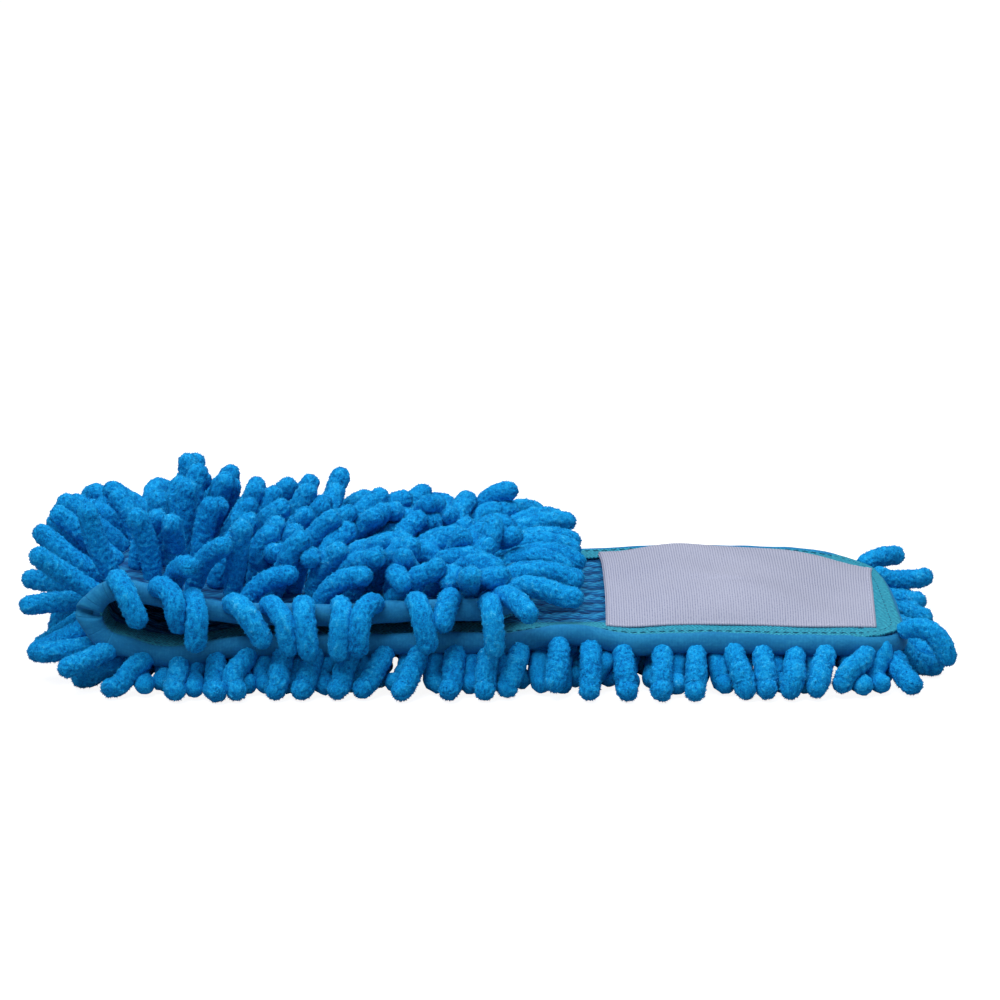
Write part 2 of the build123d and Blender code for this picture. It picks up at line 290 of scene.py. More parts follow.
@dataclass(frozen=True)
class Finish:
    """A cloth finish: what all of the mitt's materials share. Noise scales are in cells a metre."""

    name: str
    slot: str
    roughness: float
    sheen: float
    sheen_roughness: float
    sheen_tint: str
    specular: float = 0.25
    ior: float = 1.5
    relief: float = 1.0
    depth: float = 0.4 * MM
    stops: Stops = ()

    def start(self) -> tuple[bpy.types.Material, bpy.types.NodeTree, bpy.types.Node]:
        """Make the material with its shader.

        Returns:
            The material, its node tree and its Principled shader.
        """
        material = bpy.data.materials.new(self.name)
        material.use_nodes = True
        tree = material.node_tree
        shader = tree.nodes["Principled BSDF"]
        shader.inputs["Roughness"].default_value = self.roughness
        shader.inputs["IOR"].default_value = self.ior
        shader.inputs["Specular IOR Level"].default_value = self.specular
        shader.inputs["Sheen Weight"].default_value = self.sheen
        shader.inputs["Sheen Roughness"].default_value = self.sheen_roughness
        shader.inputs["Sheen Tint"].default_value = linear(self.sheen_tint)
        return material, tree, shader

    def coat(self, tree: bpy.types.NodeTree, shader: bpy.types.Node, shade: tuple, height: tuple) -> None:
        """Colour the shader along the finish's stops, and raise its surface.

        Args:
            tree: The material's node tree.
            shader: Its Principled shader.
            shade: Node and output that pick the colour.
            height: Node and output that raise the surface.
        """
        colour = add_node(tree, "ShaderNodeValToRGB", {0: shade}, self.stops)
        raised = {"Strength": self.relief, "Distance": self.depth, "Height": height}
        bump = add_node(tree, "ShaderNodeBump", raised)
        tree.links.new(colour.outputs[0], shader.inputs["Base Color"])
        tree.links.new(bump.outputs[0], shader.inputs["Normal"])


@dataclass(frozen=True)
class ChenillePile(Finish):
    """Microfibre chenille: cut polyester pile twisted round a core. Its colour carries a painted highlight on
    the raised pile and painted shade where the pile parts."""

    specular: float = 0.12
    # Stops run from painted shade in the pile's hollows to a painted highlight on its raised tips.
    stops: Stops = ((0.2, "01478c"), (0.36, "0278c2"), (0.52, "0495de"), (0.68, "20abea"), (0.9, "6accf6"))
    fibre: float = 0.6 * MM

    def make(self) -> bpy.types.Material:
        """Make the pile's material. Its fibres are drawn several times as coarse as real ones, in
        bunches that show.

        Returns:
            The material.
        """
        material, tree, shader = self.start()
        place = add_node(tree, "ShaderNodeTexCoord")
        fluff = add_node(tree, "ShaderNodeAttribute", attribute_name="fluff")
        fibres = {"Vector": (place, "Object"), "Scale": 1 / self.fibre, "Detail": 3.0, "Roughness": 0.7}
        grain = add_node(tree, "ShaderNodeTexNoise", fibres)
        # The fibre noise raises the surface and lightens the colour where it is high, as painted highlight
        # and shade, added to the pile's painted shade and random tone.
        lifted = {0: (grain, 0), 1: 1.0, 2: (fluff, "Fac")}
        shade = add_node(tree, "ShaderNodeMath", lifted, operation="MULTIPLY_ADD")
        self.coat(tree, shader, (shade, 0), (grain, 0))
        return material


@dataclass(frozen=True)
class GroundCloth(Finish):
    """Knitted polyester ground cloth, seen from the back: short wavy floats between the tufting rows."""

    relief: float = 0.9
    # Stops run from painted shade in the furrows to painted highlight on the raised tufting rows.
    stops: Stops = ((0.1, "022c56"), (0.6, "0a5692"), (1.0, "147ab6"), (1.3, "2890c4"))
    float_length: float = 3.4 * MM
    float_height: float = 1.9 * MM
    grain: float = 900.0
    float_tone: float = 0.45
    grain_height: float = 0.5

    def make(self) -> bpy.types.Material:
        """Make the ground cloth's material.

        Returns:
            The material.
        """
        material, tree, shader = self.start()
        cloth = add_node(tree, "ShaderNodeAttribute", attribute_name="cloth")
        ridge = add_node(tree, "ShaderNodeAttribute", attribute_name="ridge")
        yarn = {"Vector": (cloth, "Vector"), "Scale": self.grain, "Detail": 3.0}
        grain = add_node(tree, "ShaderNodeTexNoise", yarn)
        wave = {
            "Vector": (cloth, "Vector"),
            "Scale": band_scale(self.float_height),
            "Distortion": 5.0,
            "Detail": 1.5,
            "Detail Scale": self.float_height / self.float_length,
        }
        floats = add_node(tree, "ShaderNodeTexWave", wave, bands_direction="Y")
        # The colour follows the ridge height: painted highlight on the tufting rows, painted shade in the
        # furrows between them; the floats add their own pattern.
        mixed = {0: (floats, "Fac"), 1: self.float_tone, 2: (ridge, "Fac")}
        shade = add_node(tree, "ShaderNodeMath", mixed, operation="MULTIPLY_ADD")
        rough = {0: (grain, 0), 1: self.grain_height, 2: (floats, "Fac")}
        height = add_node(tree, "ShaderNodeMath", rough, operation="MULTIPLY_ADD")
        self.coat(tree, shader, (shade, 0), (height, 0))
        return material


@dataclass(frozen=True)
class HerringboneTape(Finish):
    """Woven polyester twill tape: slanting ribs that turn back and forth, so it shows a fine chevron."""

    relief: float = 0.8
    depth: float = 0.3 * MM
    # Stops run from painted shade in the rib furrows to painted highlight on the rib tops.
    stops: Stops = ((0.12, "075270"), (0.5, "1d8cac"), (0.85, "3cb0c6"))
    rib: float = 1.5 * MM
    turn: float = 2.7 * MM
    fuzz: float = 700.0
    rib_height: float = 0.3

    def make(self) -> bpy.types.Material:
        """Make the tape's material. Its ribs are drawn coarser than real ones, so that they show.

        Returns:
            The material.
        """
        material, tree, shader = self.start()
        cloth = add_node(tree, "ShaderNodeAttribute", attribute_name="cloth")
        parts = add_node(tree, "ShaderNodeSeparateXYZ", {0: (cloth, "Vector")})
        zigzag = add_node(tree, "ShaderNodeMath", {0: (parts, "Y"), 1: self.turn}, operation="PINGPONG")
        slant = add_node(tree, "ShaderNodeMath", {0: (parts, "X"), 1: (zigzag, 0)}, operation="ADD")
        turns = {0: (slant, 0), 1: 2 * math.pi / self.rib}
        phase = add_node(tree, "ShaderNodeMath", turns, operation="MULTIPLY")
        ribs = add_node(tree, "ShaderNodeMath", {0: (phase, 0)}, operation="SINE")
        hairs = {"Vector": (cloth, "Vector"), "Scale": self.fuzz, "Detail": 3.0, "Roughness": 0.7}
        fuzz = add_node(tree, "ShaderNodeTexNoise", hairs)
        raised = {0: (ribs, 0), 1: self.rib_height, 2: (fuzz, 0)}
        height = add_node(tree, "ShaderNodeMath", raised, operation="MULTIPLY_ADD")
        # The colour follows the rib height, so the rib tops carry painted highlight and the furrows painted
        # shade.
        self.coat(tree, shader, (height, 0), (height, 0))
        return material


@dataclass(frozen=True)
class RibbedCloth(Finish):
    """What the binding and the pocket cloth share: fine parallel ribs, a nap over them and slow blotches."""

    rib: float = 1.0 * MM
    waver: tuple[float, float, float] = (0.0, 0.0, 1.0)
    nap: tuple[float, float, float] = (1000.0, 2.0, 0.5)
    blotch: float = 40.0
    rib_height: float = 0.1
    blotch_tone: float = 0.5

    def make(self) -> bpy.types.Material:
        """Make the cloth's material.

        Returns:
            The material.
        """
        material, tree, shader = self.start()
        cloth = add_node(tree, "ShaderNodeAttribute", attribute_name="cloth")
        wave = {"Vector": (cloth, "Vector"), "Scale": band_scale(self.rib)}
        wave.update(zip(("Distortion", "Detail", "Detail Scale"), self.waver))
        ribs = add_node(tree, "ShaderNodeTexWave", wave, bands_direction="X")
        hairs = {"Vector": (cloth, "Vector"), **dict(zip(("Scale", "Detail", "Roughness"), self.nap))}
        nap = add_node(tree, "ShaderNodeTexNoise", hairs)
        patches = {"Vector": (cloth, "Vector"), "Scale": self.blotch, "Detail": 2.0}
        blotch = add_node(tree, "ShaderNodeTexNoise", patches)
        raised = {0: (ribs, "Fac"), 1: self.rib_height, 2: (nap, 0)}
        height = add_node(tree, "ShaderNodeMath", raised, operation="MULTIPLY_ADD")
        # The colour follows the height of the ribs and nap: painted highlight where raised, painted shade in
        # the furrows; the blotches add random tone.
        mixed = {0: (blotch, 0), 1: self.blotch_tone, 2: (height, 0)}
        shade = add_node(tree, "ShaderNodeMath", mixed, operation="MULTIPLY_ADD")
        self.coat(tree, shader, (shade, 0), (height, 0))
        return material


@dataclass(frozen=True)
class BindingKnit(RibbedCloth):
    """Brushed weft-knit binding: matt and even, with faint courses along it and a soft nap."""

    relief: float = 0.5
    depth: float = 0.25 * MM
    stops: Stops = ((0.45, "06669c"), (0.8, "0f73a8"), (1.15, "1d81b3"))
    rib: float = 1.1 * MM
    waver: tuple[float, float, float] = (2.5, 2.0, 1.5)
    nap: tuple[float, float, float] = (650.0, 4.0, 0.65)
    blotch: float = 45.0
    rib_height: float = 0.07
    blotch_tone: float = 0.6


@dataclass(frozen=True)
class RibKnit(RibbedCloth):
    """Fine rib-knit polyester: ribs across the pocket, painted pale on their tops with painted shade in the
    furrows between them. The ribs are drawn half as coarse again as real ones, so that they show."""

    relief: float = 0.55
    depth: float = 0.2 * MM
    stops: Stops = ((0.45, "777c98"), (0.85, "9196af"), (1.35, "a6aabf"))
    rib: float = 0.95 * MM
    waver: tuple[float, float, float] = (0.6, 1.0, 0.4)
    nap: tuple[float, float, float] = (1300.0, 2.0, 0.6)
    blotch: float = 30.0
    rib_height: float = 0.7
    blotch_tone: float = 0.35


@dataclass(frozen=True)
class SpunThread(Finish):
    """Spun polyester sewing thread: matt, with a fine twist that runs round each stitch."""

    relief: float = 0.5
    depth: float = 0.1 * MM
    twist: float = 0.7 * MM

    def make(self) -> bpy.types.Material:
        """Make the thread's material.

        Returns:
            The material.
        """
        material, tree, shader = self.start()
        place = add_node(tree, "ShaderNodeTexCoord")
        wave = {"Vector": (place, "Object"), "Scale": band_scale(self.twist), "Distortion": 1.0}
        twist = add_node(tree, "ShaderNodeTexWave", wave, bands_direction="DIAGONAL")
        # The colour follows the twist's height: painted shade in its grooves, painted highlight on its raised
        # turns.
        self.coat(tree, shader, (twist, "Fac"), (twist, "Fac"))
        return material


@dataclass
class Wardrobe:
    """The mitt's materials, made once."""

    pile: ChenillePile = ChenillePile(
        "microfibre_chenille_pile", "chenille_pile", 0.9, 0.2, 0.4, "1f9cf0"
    )
    ground: GroundCloth = GroundCloth(
        "knitted_ground_cloth", "chenille_base_cloth", 0.9, 0.15, 0.4, "4fa8e0"
    )
    tape: HerringboneTape = HerringboneTape(
        "herringbone_twill_tape", "facing_tape", 0.85, 0.15, 0.4, "60c8e0"
    )
    binding: BindingKnit = BindingKnit("brushed_knit_binding", "binding_tape", 0.85, 0.25, 0.4, "60b8e8")
    pocket: RibKnit = RibKnit("rib_knit_pocket_cloth", "pocket_cloth", 0.85, 0.1, 0.4, "d8dcf0")
    dark_thread: SpunThread = SpunThread(
        "spun_thread_teal", "sewing_thread", 0.7, 0.1, 0.4, "80c0d8", stops=((0.0, "0c5270"), (1.0, "14708e"))
    )
    pale_thread: SpunThread = SpunThread(
        "spun_thread_grey", "sewing_thread", 0.7, 0.1, 0.4, "e8eaf6", stops=((0.0, "9da2bc"), (1.0, "c3c7da"))
    )
    made: dict[str, bpy.types.Material] = field(default_factory=dict)

    def material(self, finish: Finish) -> bpy.types.Material:
        """Return the finish's material, made the first time it is asked for.

        Args:
            finish: The finish.

        Returns:
            Its material.
        """
        if finish.name not in self.made:
            self.made[finish.name] = finish.make()
        return self.made[finish.name]

    def dress(self, data: MeshData, name: str, finish: Finish, nodes: list[str]) -> bpy.types.Object:
        """Build a piece in its finish.

        Args:
            data: The piece's mesh.
            name: The piece's name.
            finish: Its finish.
            nodes: CAD nodes that it stands for.

        Returns:
            The piece.
        """
        piece = data.build(name, self.material(finish))
        if nodes:
            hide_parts(*nodes)
        LOG.info("%s: %d points", piece.name, len(piece.data.vertices))
        return piece


# ---- The mitt's form --------------------------------------------------------------------------------
class Side(Enum):
    """A long edge of the mitt, by the sign of its place across."""

    FRONT = -1
    BACK = 1


@dataclass(frozen=True)
class Sag:
    """A smooth rise or sag of the resting cloth, over a stretch along the mitt."""

    height: float
    centre: float
    half: float

    def at(self, x: np.ndarray) -> np.ndarray:
        """Change in height at x."""
        return self.height * bump_curve(x, self.centre, self.half)


@dataclass
class MittForm:
    """Where the mitt's cloth lies when it is folded, read from the frame.

    A place on the cloth is u along it, y across it and z out of its back. u is 0 at the first hinge
    line, grows along the lower panel, and falls through the fold and along the flap.
    """

    hinges: list[np.ndarray] = field(init=False)
    turn: float = field(init=False)
    strip: float = field(init=False)
    radius: float = field(init=False)
    half_width: float = field(init=False)
    base: float = field(init=False)
    facing: float = field(init=False)
    cloth_inset: float = field(init=False)
    lower_length: float = field(init=False)
    flap_length: float = field(init=False)
    corner: float = 20 * MM
    binding_width: float = 6.5 * MM
    hump: Sag = Sag(4.4 * MM, 0.033, 0.027)
    lower_sags: tuple[Sag, Sag] = (Sag(-2.4 * MM, -0.105, 0.04), Sag(-1.8 * MM, -0.11, 0.022))
    near_corner: Sag = Sag(-0.4 * MM, 0.168, 0.045)
    far_corner: Sag = Sag(-6.5 * MM, 0.168, 0.05)
    flap_sags: tuple[Sag, Sag] = (Sag(-1.8 * MM, -0.062, 0.055), Sag(-1.9 * MM, -0.088, 0.03))

    def __post_init__(self) -> None:
        """Read the sizes from the frame's joints and nodes."""
        self.hinges = [np.array(joint["pos_m"]) for joint in frame["joints"]]
        self.turn = math.radians(frame["joints"][0]["range_deg"][1])
        self.strip = float(np.linalg.norm(self.hinges[1] - self.hinges[0]))
        self.radius = self.strip / 2 / math.tan(self.turn / 2)
        base_low, base_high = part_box("lower_base_cloth")
        end_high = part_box("lower_binding_end")[1]
        self.half_width = end_high.y
        self.base = base_high.z - base_low.z
        self.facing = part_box("lower_facing")[1].z - base_high.z
        self.cloth_inset = end_high.y - base_high.y
        self.lower_length = end_high.x - self.hinges[0][0]
        along = self.travel(self.fold_turn())
        corners = [np.array(v.co) for v in frame["nodes"]["flap_binding_end"].data.vertices]
        self.flap_length = max(float((c - self.hinges[-1]) @ along) for c in corners)

    def fold_turn(self) -> float:
        """Angle that the whole fold turns through."""
        return self.turn * len(self.hinges)

    def fold_end(self) -> float:
        """Place u where the fold ends and the flap starts to be flat."""
        return self.strip / 2 - self.strip * len(self.hinges)

    def flap_u(self, x: float) -> float:
        """Place u of a point x along the flap from its hinge line."""
        return -self.strip * (len(self.hinges) - 1) - x

    def travel(self, angle: float | np.ndarray) -> np.ndarray:
        """Direction in which u falls, where the cloth has turned by angle."""
        return np.stack([-np.cos(angle), np.zeros_like(angle), np.sin(angle)], axis=-1)

    def back(self, angle: float | np.ndarray) -> np.ndarray:
        """Direction out of the cloth's back, where the cloth has turned by angle."""
        return np.stack([np.sin(angle), np.zeros_like(angle), np.cos(angle)], axis=-1)

    def angle(self, u: np.ndarray) -> np.ndarray:
        """Angle that the cloth has turned by at u."""
        return np.clip((self.strip / 2 - u) / self.strip, 0, len(self.hinges)) * self.turn

    def plain(self, u: np.ndarray, y: np.ndarray, z: np.ndarray) -> np.ndarray:
        """Place of a point of the cloth in the row frame, without its small undulations.

        Args:
            u: Place along the mitt's cloth, from the lower panel round the fold.
            y: Place across it.
            z: Height off its chenille side.

        Returns:
            The point.
        """
        u, y, z = np.broadcast_arrays(np.asarray(u, float), np.asarray(y, float), np.asarray(z, float))
        angle = self.angle(u)
        start = self.hinges[0] + np.array([self.strip / 2, 0, 0])
        centre = start + np.array([0, 0, self.radius])
        points = centre - (self.radius - z)[..., None] * self.back(angle)
        before = np.maximum(u - self.strip / 2, 0)
        after = np.maximum(self.fold_end() - u, 0)
        points = points - before[..., None] * self.travel(np.zeros_like(u))
        points = points + after[..., None] * self.travel(np.full_like(u, self.fold_turn()))
        points[..., 1] += y
        return points

    def sway(self, points: np.ndarray) -> np.ndarray:
        """Undulation of the resting cloth, as a change in height for points of the row frame.

        Args:
            points: The points.

        Returns:
            The change in height of each.
        """
        x, y, z = points[..., 0], points[..., 1], points[..., 2]
        high = ease((z - 0.019) / 0.014)
        front = np.clip((-y - 0.024) / 0.034, 0, 1) ** 2
        sag = self.lower_sags[0].at(x) + self.lower_sags[1].at(x)
        near = self.near_corner.at(x) * ease((-y - 0.01) / 0.05)
        far = self.far_corner.at(x) * ease((y + 0.005) / 0.065)
        ripple = 0.5 * MM * np.sin(x / 0.021) * np.sin(y / 0.017 + 1) + 0.4 * MM * np.sin(x / 0.013 + 2)
        lower = self.hump.at(x) * front + sag * ease((x + 0.132) / 0.014) + near + far
        flap = -1.2 * MM - 2.6 * MM * ease(-x / 0.055) + self.flap_sags[0].at(x)
        flap = (flap + self.flap_sags[1].at(x)) * ease((x + 0.128) / 0.03)
        return lower * (1 - high) + flap * high + ripple * ease((x + 0.13) / 0.02)

    def place(self, u: np.ndarray, y: np.ndarray, z: np.ndarray) -> np.ndarray:
        """Place of a point of the resting cloth in the row frame.

        Args:
            u: Place along the mitt's cloth, from the lower panel round the fold.
            y: Place across it.
            z: Height off its chenille side.

        Returns:
            The point.
        """
        points = self.plain(u, y, z)
        flat = self.plain(u, y, np.full_like(points[..., 0], self.base / 2))
        points[..., 2] += self.sway(flat)
        return points

    def half_at(self, x: np.ndarray, length: float, inset: float) -> np.ndarray:
        """Half width of a panel at x along it, drawn in by inset, with its rounded end.

        Args:
            x: Distance along the panel.
            length: The panel's length.
            inset: How far to draw in.

        Returns:
            The half width at each x.
        """
        radius = self.corner - inset
        over = np.clip(x - (length - self.corner), 0, radius)
        return self.half_width - self.corner + np.sqrt(np.maximum(radius**2 - over**2, 0))

    def outline(self, length: float, inset: float, step: float, start: float) -> np.ndarray:
        """Line round a panel's edge, from start on its front edge to start on its back edge.

        Args:
            length: The panel's length.
            inset: Distance of the line from the mitt's edge.
            step: Distance between points.
            start: Place along the panel where the line starts.

        Returns:
            Rows of x, y, and the outward direction's x and y.
        """
        radius = self.corner - inset
        straight = length - self.corner
        half = self.half_width - inset
        flat = self.half_width - self.corner
        run = int((straight - start) / step)
        turn = max(8, int(radius * math.pi / 2 / step))
        across = int(2 * flat / step)
        x = np.linspace(start, straight, run, endpoint=False)
        front = np.stack([x, np.full(run, -half), np.zeros(run), np.full(run, -1.0)], axis=-1)
        angles = np.linspace(-math.pi / 2, 0, turn, endpoint=False)
        out = np.stack([np.cos(angles), np.sin(angles)], axis=-1)
        near = np.concatenate([np.array([straight, -flat]) + radius * out, out], axis=-1)
        y = np.linspace(-flat, flat, across, endpoint=False)
        end = np.stack([np.full(across, length - inset), y, np.ones(across), np.zeros(across)], axis=-1)
        angles = np.linspace(0, math.pi / 2, turn, endpoint=False)
        out = np.stack([np.cos(angles), np.sin(angles)], axis=-1)
        far = np.concatenate([np.array([straight, flat]) + radius * out, out], axis=-1)
        x = np.linspace(straight, start, run + 1)
        rear = np.stack([x, np.full(run + 1, half), np.zeros(run + 1), np.ones(run + 1)], axis=-1)
        return np.concatenate([front, near, end, far, rear])


@dataclass
class Panel:
    """One flat panel of the mitt, with the half hinge that it bends into."""

    form: MittForm
    name: str
    length: float
    sign: int
    shift: float

    def u(self, x: np.ndarray) -> np.ndarray:
        """Place u of a point x along the panel from its hinge line."""
        return self.shift + self.sign * x

    def settle(self, piece: bpy.types.Object, height: float) -> None:
        """Pass the piece, whose innermost cloth lies at height, to the panel's own hinge, which only bakes
        its transform.
        """
        Fold(self.form).bend(piece, 1 if self.sign > 0 else len(self.form.hinges), height)


@dataclass
class Fold:
    """The fold's hinges, by number from 1, and the stretch of cloth round each."""

    form: MittForm

    def reach(self, hinge: int) -> tuple[float, float]:
        """Places u where the stretch round a hinge starts and ends."""
        start = self.form.strip / 2 - self.form.strip * (hinge - 1)
        return start, start - self.form.strip

    def bend(self, piece: bpy.types.Object, hinge: int, height: float) -> None:
        """Bake a piece's transform into its mesh. It finds where the cloth lies at both ends of the hinge's
        stretch, but does not bend the piece.

        Args:
            piece: The piece.
            hinge: The hinge's number.
            height: How far the piece's innermost cloth lies from the chenille side.
        """
        start, end = self.reach(hinge)
        before = self.form.place(start, 0.0, height)
        after = self.form.place(end, 0.0, height)
        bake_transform(piece)


# ---- Cloth pieces -----------------------------------------------------------------------------------
@dataclass
class ClothMaker:
    """Makes the mitt's woven and knitted pieces on its form."""

    form: MittForm
    wardrobe: Wardrobe
    row_pitch: float = 9.6 * MM
    end_strip: float = 20 * MM
    end_tuck: float = 5 * MM
    around: int = 36
    roll_height: float = 3.9 * MM
    crease_depth: float = 4.6 * MM
    crease_width: float = 1.2 * MM
    thread: float = 0.21 * MM

    def ridges(self, u: np.ndarray, y: np.ndarray) -> np.ndarray:
        """Height, from 0 to 1, of the tufting rows that show on the back of the ground cloth.

        Args:
            u: Place along the cloth.
            y: Place across it.

        Returns:
            The height.
        """
        wander = 1.3 * MM * np.sin(u / 0.0023 + y / 0.007) + 0.7 * MM * np.sin(u / 0.0011 + y / 0.003)
        row = np.abs(np.cos(math.pi * (y + wander) / self.row_pitch))
        beads = 0.5 + 0.5 * np.sin(2 * math.pi * u / 0.0046 + 3 * np.sin(y / 0.003))
        return np.clip(row**0.9 * (0.6 + 0.4 * beads), 0, 1)

    def ground(
        self, name: str, x_range: tuple[float, float], panel: Panel | None, nodes: list[str]
    ) -> bpy.types.Object:
        """Make a length of the ground cloth.

        Args:
            name: The piece's name.
            x_range: Places between which it lies: along the panel, or as u in the fold.
            panel: The panel that it belongs to, or None in the fold.
            nodes: CAD nodes that it stands for.

        Returns:
            The piece.
        """
        start, end = x_range
        rows = max(6, int(abs(end - start) / (0.8 * MM)))
        x = np.linspace(start, end, rows)
        if panel:
            half = self.form.half_at(x, panel.length, self.form.cloth_inset)
            u = panel.u(x)
        else:
            half = np.full(rows, self.form.half_width - self.form.cloth_inset)
            u = x
        across = np.linspace(-1, 1, 130)
        y = half[:, None] * across[None, :]
        u = np.broadcast_to(u[:, None], y.shape)
        # The ridge height raises the cloth and also darkens its colour in the furrows, as painted shade.
        ridge = self.ridges(u, y)
        edge = np.clip((half[:, None] - np.abs(y)) / (2 * MM), 0, 1)
        top = self.form.place(u, y, self.form.base + (ridge - 0.6) * 1.3 * MM * edge)
        bottom = self.form.place(u, y, 0.15 * MM * ridge)
        cloth = np.stack([u, y, np.zeros_like(y)], axis=-1)
        data = MeshData()
        data.add_slab(top, bottom, flip=panel is None or panel.sign < 0, cloth=cloth, ridge=ridge)
        return self.wardrobe.dress(data, name, self.wardrobe.ground, nodes)

    def strip(
        self,
        data: MeshData,
        grid: tuple[np.ndarray, np.ndarray],
        height: np.ndarray | float,
        cloth: np.ndarray,
        flip: bool,
        thick: np.ndarray | float = 0.6 * MM,
    ) -> None:
        """Add a strip of thin cloth over the ground cloth.

        Args:
            data: Mesh to add to.
            grid: Grids of u and y.
            height: Height of its lower face over the chenille side.
            cloth: The cloth's own coordinates on the grid.
            flip: Whether to turn the grid round, so that its faces point outwards.
            thick: Its thickness.
        """
        u, y = grid
        top = self.form.place(u, y, height + thick)
        bottom = self.form.place(u, y, height - 0.1 * MM)
        data.add_slab(top, bottom, flip=flip, cloth=cloth)

    def facing_side(
        self,
        data: MeshData,
        u_range: tuple[float, float],
        side: Side,
        tuck: float | None,
        rng: np.random.Generator,
    ) -> None:
        """Add a facing strip along one long edge.

        Args:
            data: Mesh to add to.
            u_range: Places u between which it lies.
            side: The long edge.
            tuck: Place u where it runs under the end strip, if it does.
            rng: Source of its small ripples.
        """
        count = max(6, int(abs(u_range[1] - u_range[0]) / (1.5 * MM)))
        u = np.linspace(*u_range, count)
        outer = self.form.half_width - self.form.cloth_inset
        inner = self.form.half_width - 17 * MM
        share = np.linspace(0, 1, 16)
        wave = 0.35 * MM * np.sin(u / 0.009 + side.value) * np.sin(u / 0.0031)
        y = side.value * (inner + (outer - inner) * share[None, :] + wave[:, None] * (1 - share[None, :]))
        u = np.broadcast_to(u[:, None], y.shape)
        cloth = np.stack([u, y, np.zeros_like(y)], axis=-1)
        lift = 0.25 * MM * (1 - share[None, :]) ** 2 * (1 + np.sin(u / 0.005 + rng.uniform(0, 6)))
        if tuck is not None:
            lift = lift - 0.75 * MM * ease(1 - np.abs(u - tuck) / (6 * MM))
        self.strip(data, (u, y), self.form.base + 0.1 * MM + lift, cloth, flip=side is Side.BACK)

    def facing(
        self, name: str, u_range: tuple[float, float], panel: Panel | None, nodes: list[str]
    ) -> bpy.types.Object:
        """Make a length of the facing tape: both side strips, and the end strip on a panel.

        Args:
            name: The piece's name.
            u_range: Its stretch along the cloth.
            panel: Its panel, or None for a stretch of the fold.
            nodes: CAD nodes that it stands for.

        Returns:
            The piece.
        """
        rng = np.random.default_rng(SEED + 3)
        data = MeshData()
        tuck = panel.u(panel.length - self.end_strip + self.end_tuck) if panel else None
        for side in Side:
            self.facing_side(data, u_range, side, tuck, rng)
        if panel:
            x = np.linspace(panel.length - self.end_strip, panel.length - self.form.cloth_inset, 24)
            half = self.form.half_at(x, panel.length, self.form.cloth_inset)
            taper = ease(np.linspace(0, 5, 24))[:, None]
            across = np.linspace(-1, 1, 90)
            y = half[:, None] * across[None, :]
            bow = 0.4 * MM * np.sin(y / 0.011) * (1 - np.linspace(0, 1, 24))[:, None]
            u = panel.u(np.broadcast_to(x[:, None], y.shape) + bow)
            cloth = np.stack([y, u, np.zeros_like(y)], axis=-1)
            rise = self.form.base + 0.35 * MM * taper
            self.strip(data, (u, y), rise, cloth, flip=panel.sign < 0, thick=0.1 * MM + 0.5 * MM * taper)
        return self.wardrobe.dress(data, name, self.wardrobe.tape, nodes)

    def roll(
        self, data: MeshData, line: np.ndarray, u: np.ndarray, rng: np.random.Generator, sign: int = 1
    ) -> None:
        """Add a length of the rolled binding.

        Args:
            data: Mesh to add to.
            line: Rows of x, y and the outward direction's x and y.
            u: Place u of each row.
            rng: Source of its small wrinkles.
            sign: Whether u grows (1) or falls (-1) along the panel.
        """
        count, around = len(line), self.around
        angles = np.linspace(0, 2 * math.pi, around, endpoint=False)
        cosine, sine = np.cos(angles), np.sin(angles)
        wide = (self.form.binding_width / 2 + 0.1 * MM) * np.sign(cosine) * np.abs(cosine) ** 0.85
        tall = self.roll_height * sine
        tall = tall * np.where(sine > 0, 1 - 0.42 * np.maximum(-cosine, 0), 1)
        steps = np.linalg.norm(np.diff(line[:, :2], axis=0), axis=1)
        distance = np.concatenate([[0], np.cumsum(steps)])
        rows = max(count, 8)
        wrinkle = smooth_noise(rng, (rows, around), (3.0, 2.2))[:count]
        soft = smooth_noise(rng, (rows, around), (14.0, 5.0))[:count]
        ends = np.clip(np.minimum(distance, distance[-1] - distance) / (6 * MM), 0, 1)[:, None]
        swell = 1 + ends * (0.035 * wrinkle + 0.04 * soft)
        crease = np.exp(-(((u - self.form.fold_end() / 2) / self.crease_width) ** 2))[:, None]
        crown = np.exp(-(((u - self.form.fold_end() / 2) / (3.6 * MM)) ** 2))[:, None]
        tucked = np.maximum(line[:, 2:3], 0) * 1.6 * MM
        outward = wide[None, :] * swell - self.crease_depth * crease * np.maximum(cosine, 0)[None, :]
        height = tall[None, :] * swell * (1 - 0.15 * crease) - 0.2 * MM - tucked
        height = height - 2.6 * MM * crown * np.maximum(-sine, 0)
        y = line[:, 1:2] + line[:, 3:4] * outward
        grid_u = u[:, None] + line[:, 2:3] * outward * sign
        rings = self.form.place(grid_u, y, height)
        cloth = np.stack(
            [
                np.broadcast_to(distance[:, None], y.shape),
                np.broadcast_to(angles[None, :] * 4 * MM, y.shape),
                np.zeros_like(y),
            ],
            axis=-1,
        )
        data.add_tube(rings, cloth=cloth)

    def binding(self, name: str, panel: Panel, nodes: list[str]) -> bpy.types.Object:
        """Make a panel's binding: one roll down the front edge, round the end and up the back edge.

        Args:
            name: The piece's name.
            panel: The panel.
            nodes: CAD nodes that it stands for.

        Returns:
            The piece.
        """
        rng = np.random.default_rng(SEED + 5)
        line = self.form.outline(panel.length, self.form.binding_width / 2, 0.9 * MM, -self.form.strip / 2)
        data = MeshData()
        self.roll(data, line, panel.u(line[:, 0]), rng, panel.sign)
        return self.wardrobe.dress(data, name, self.wardrobe.binding, nodes)

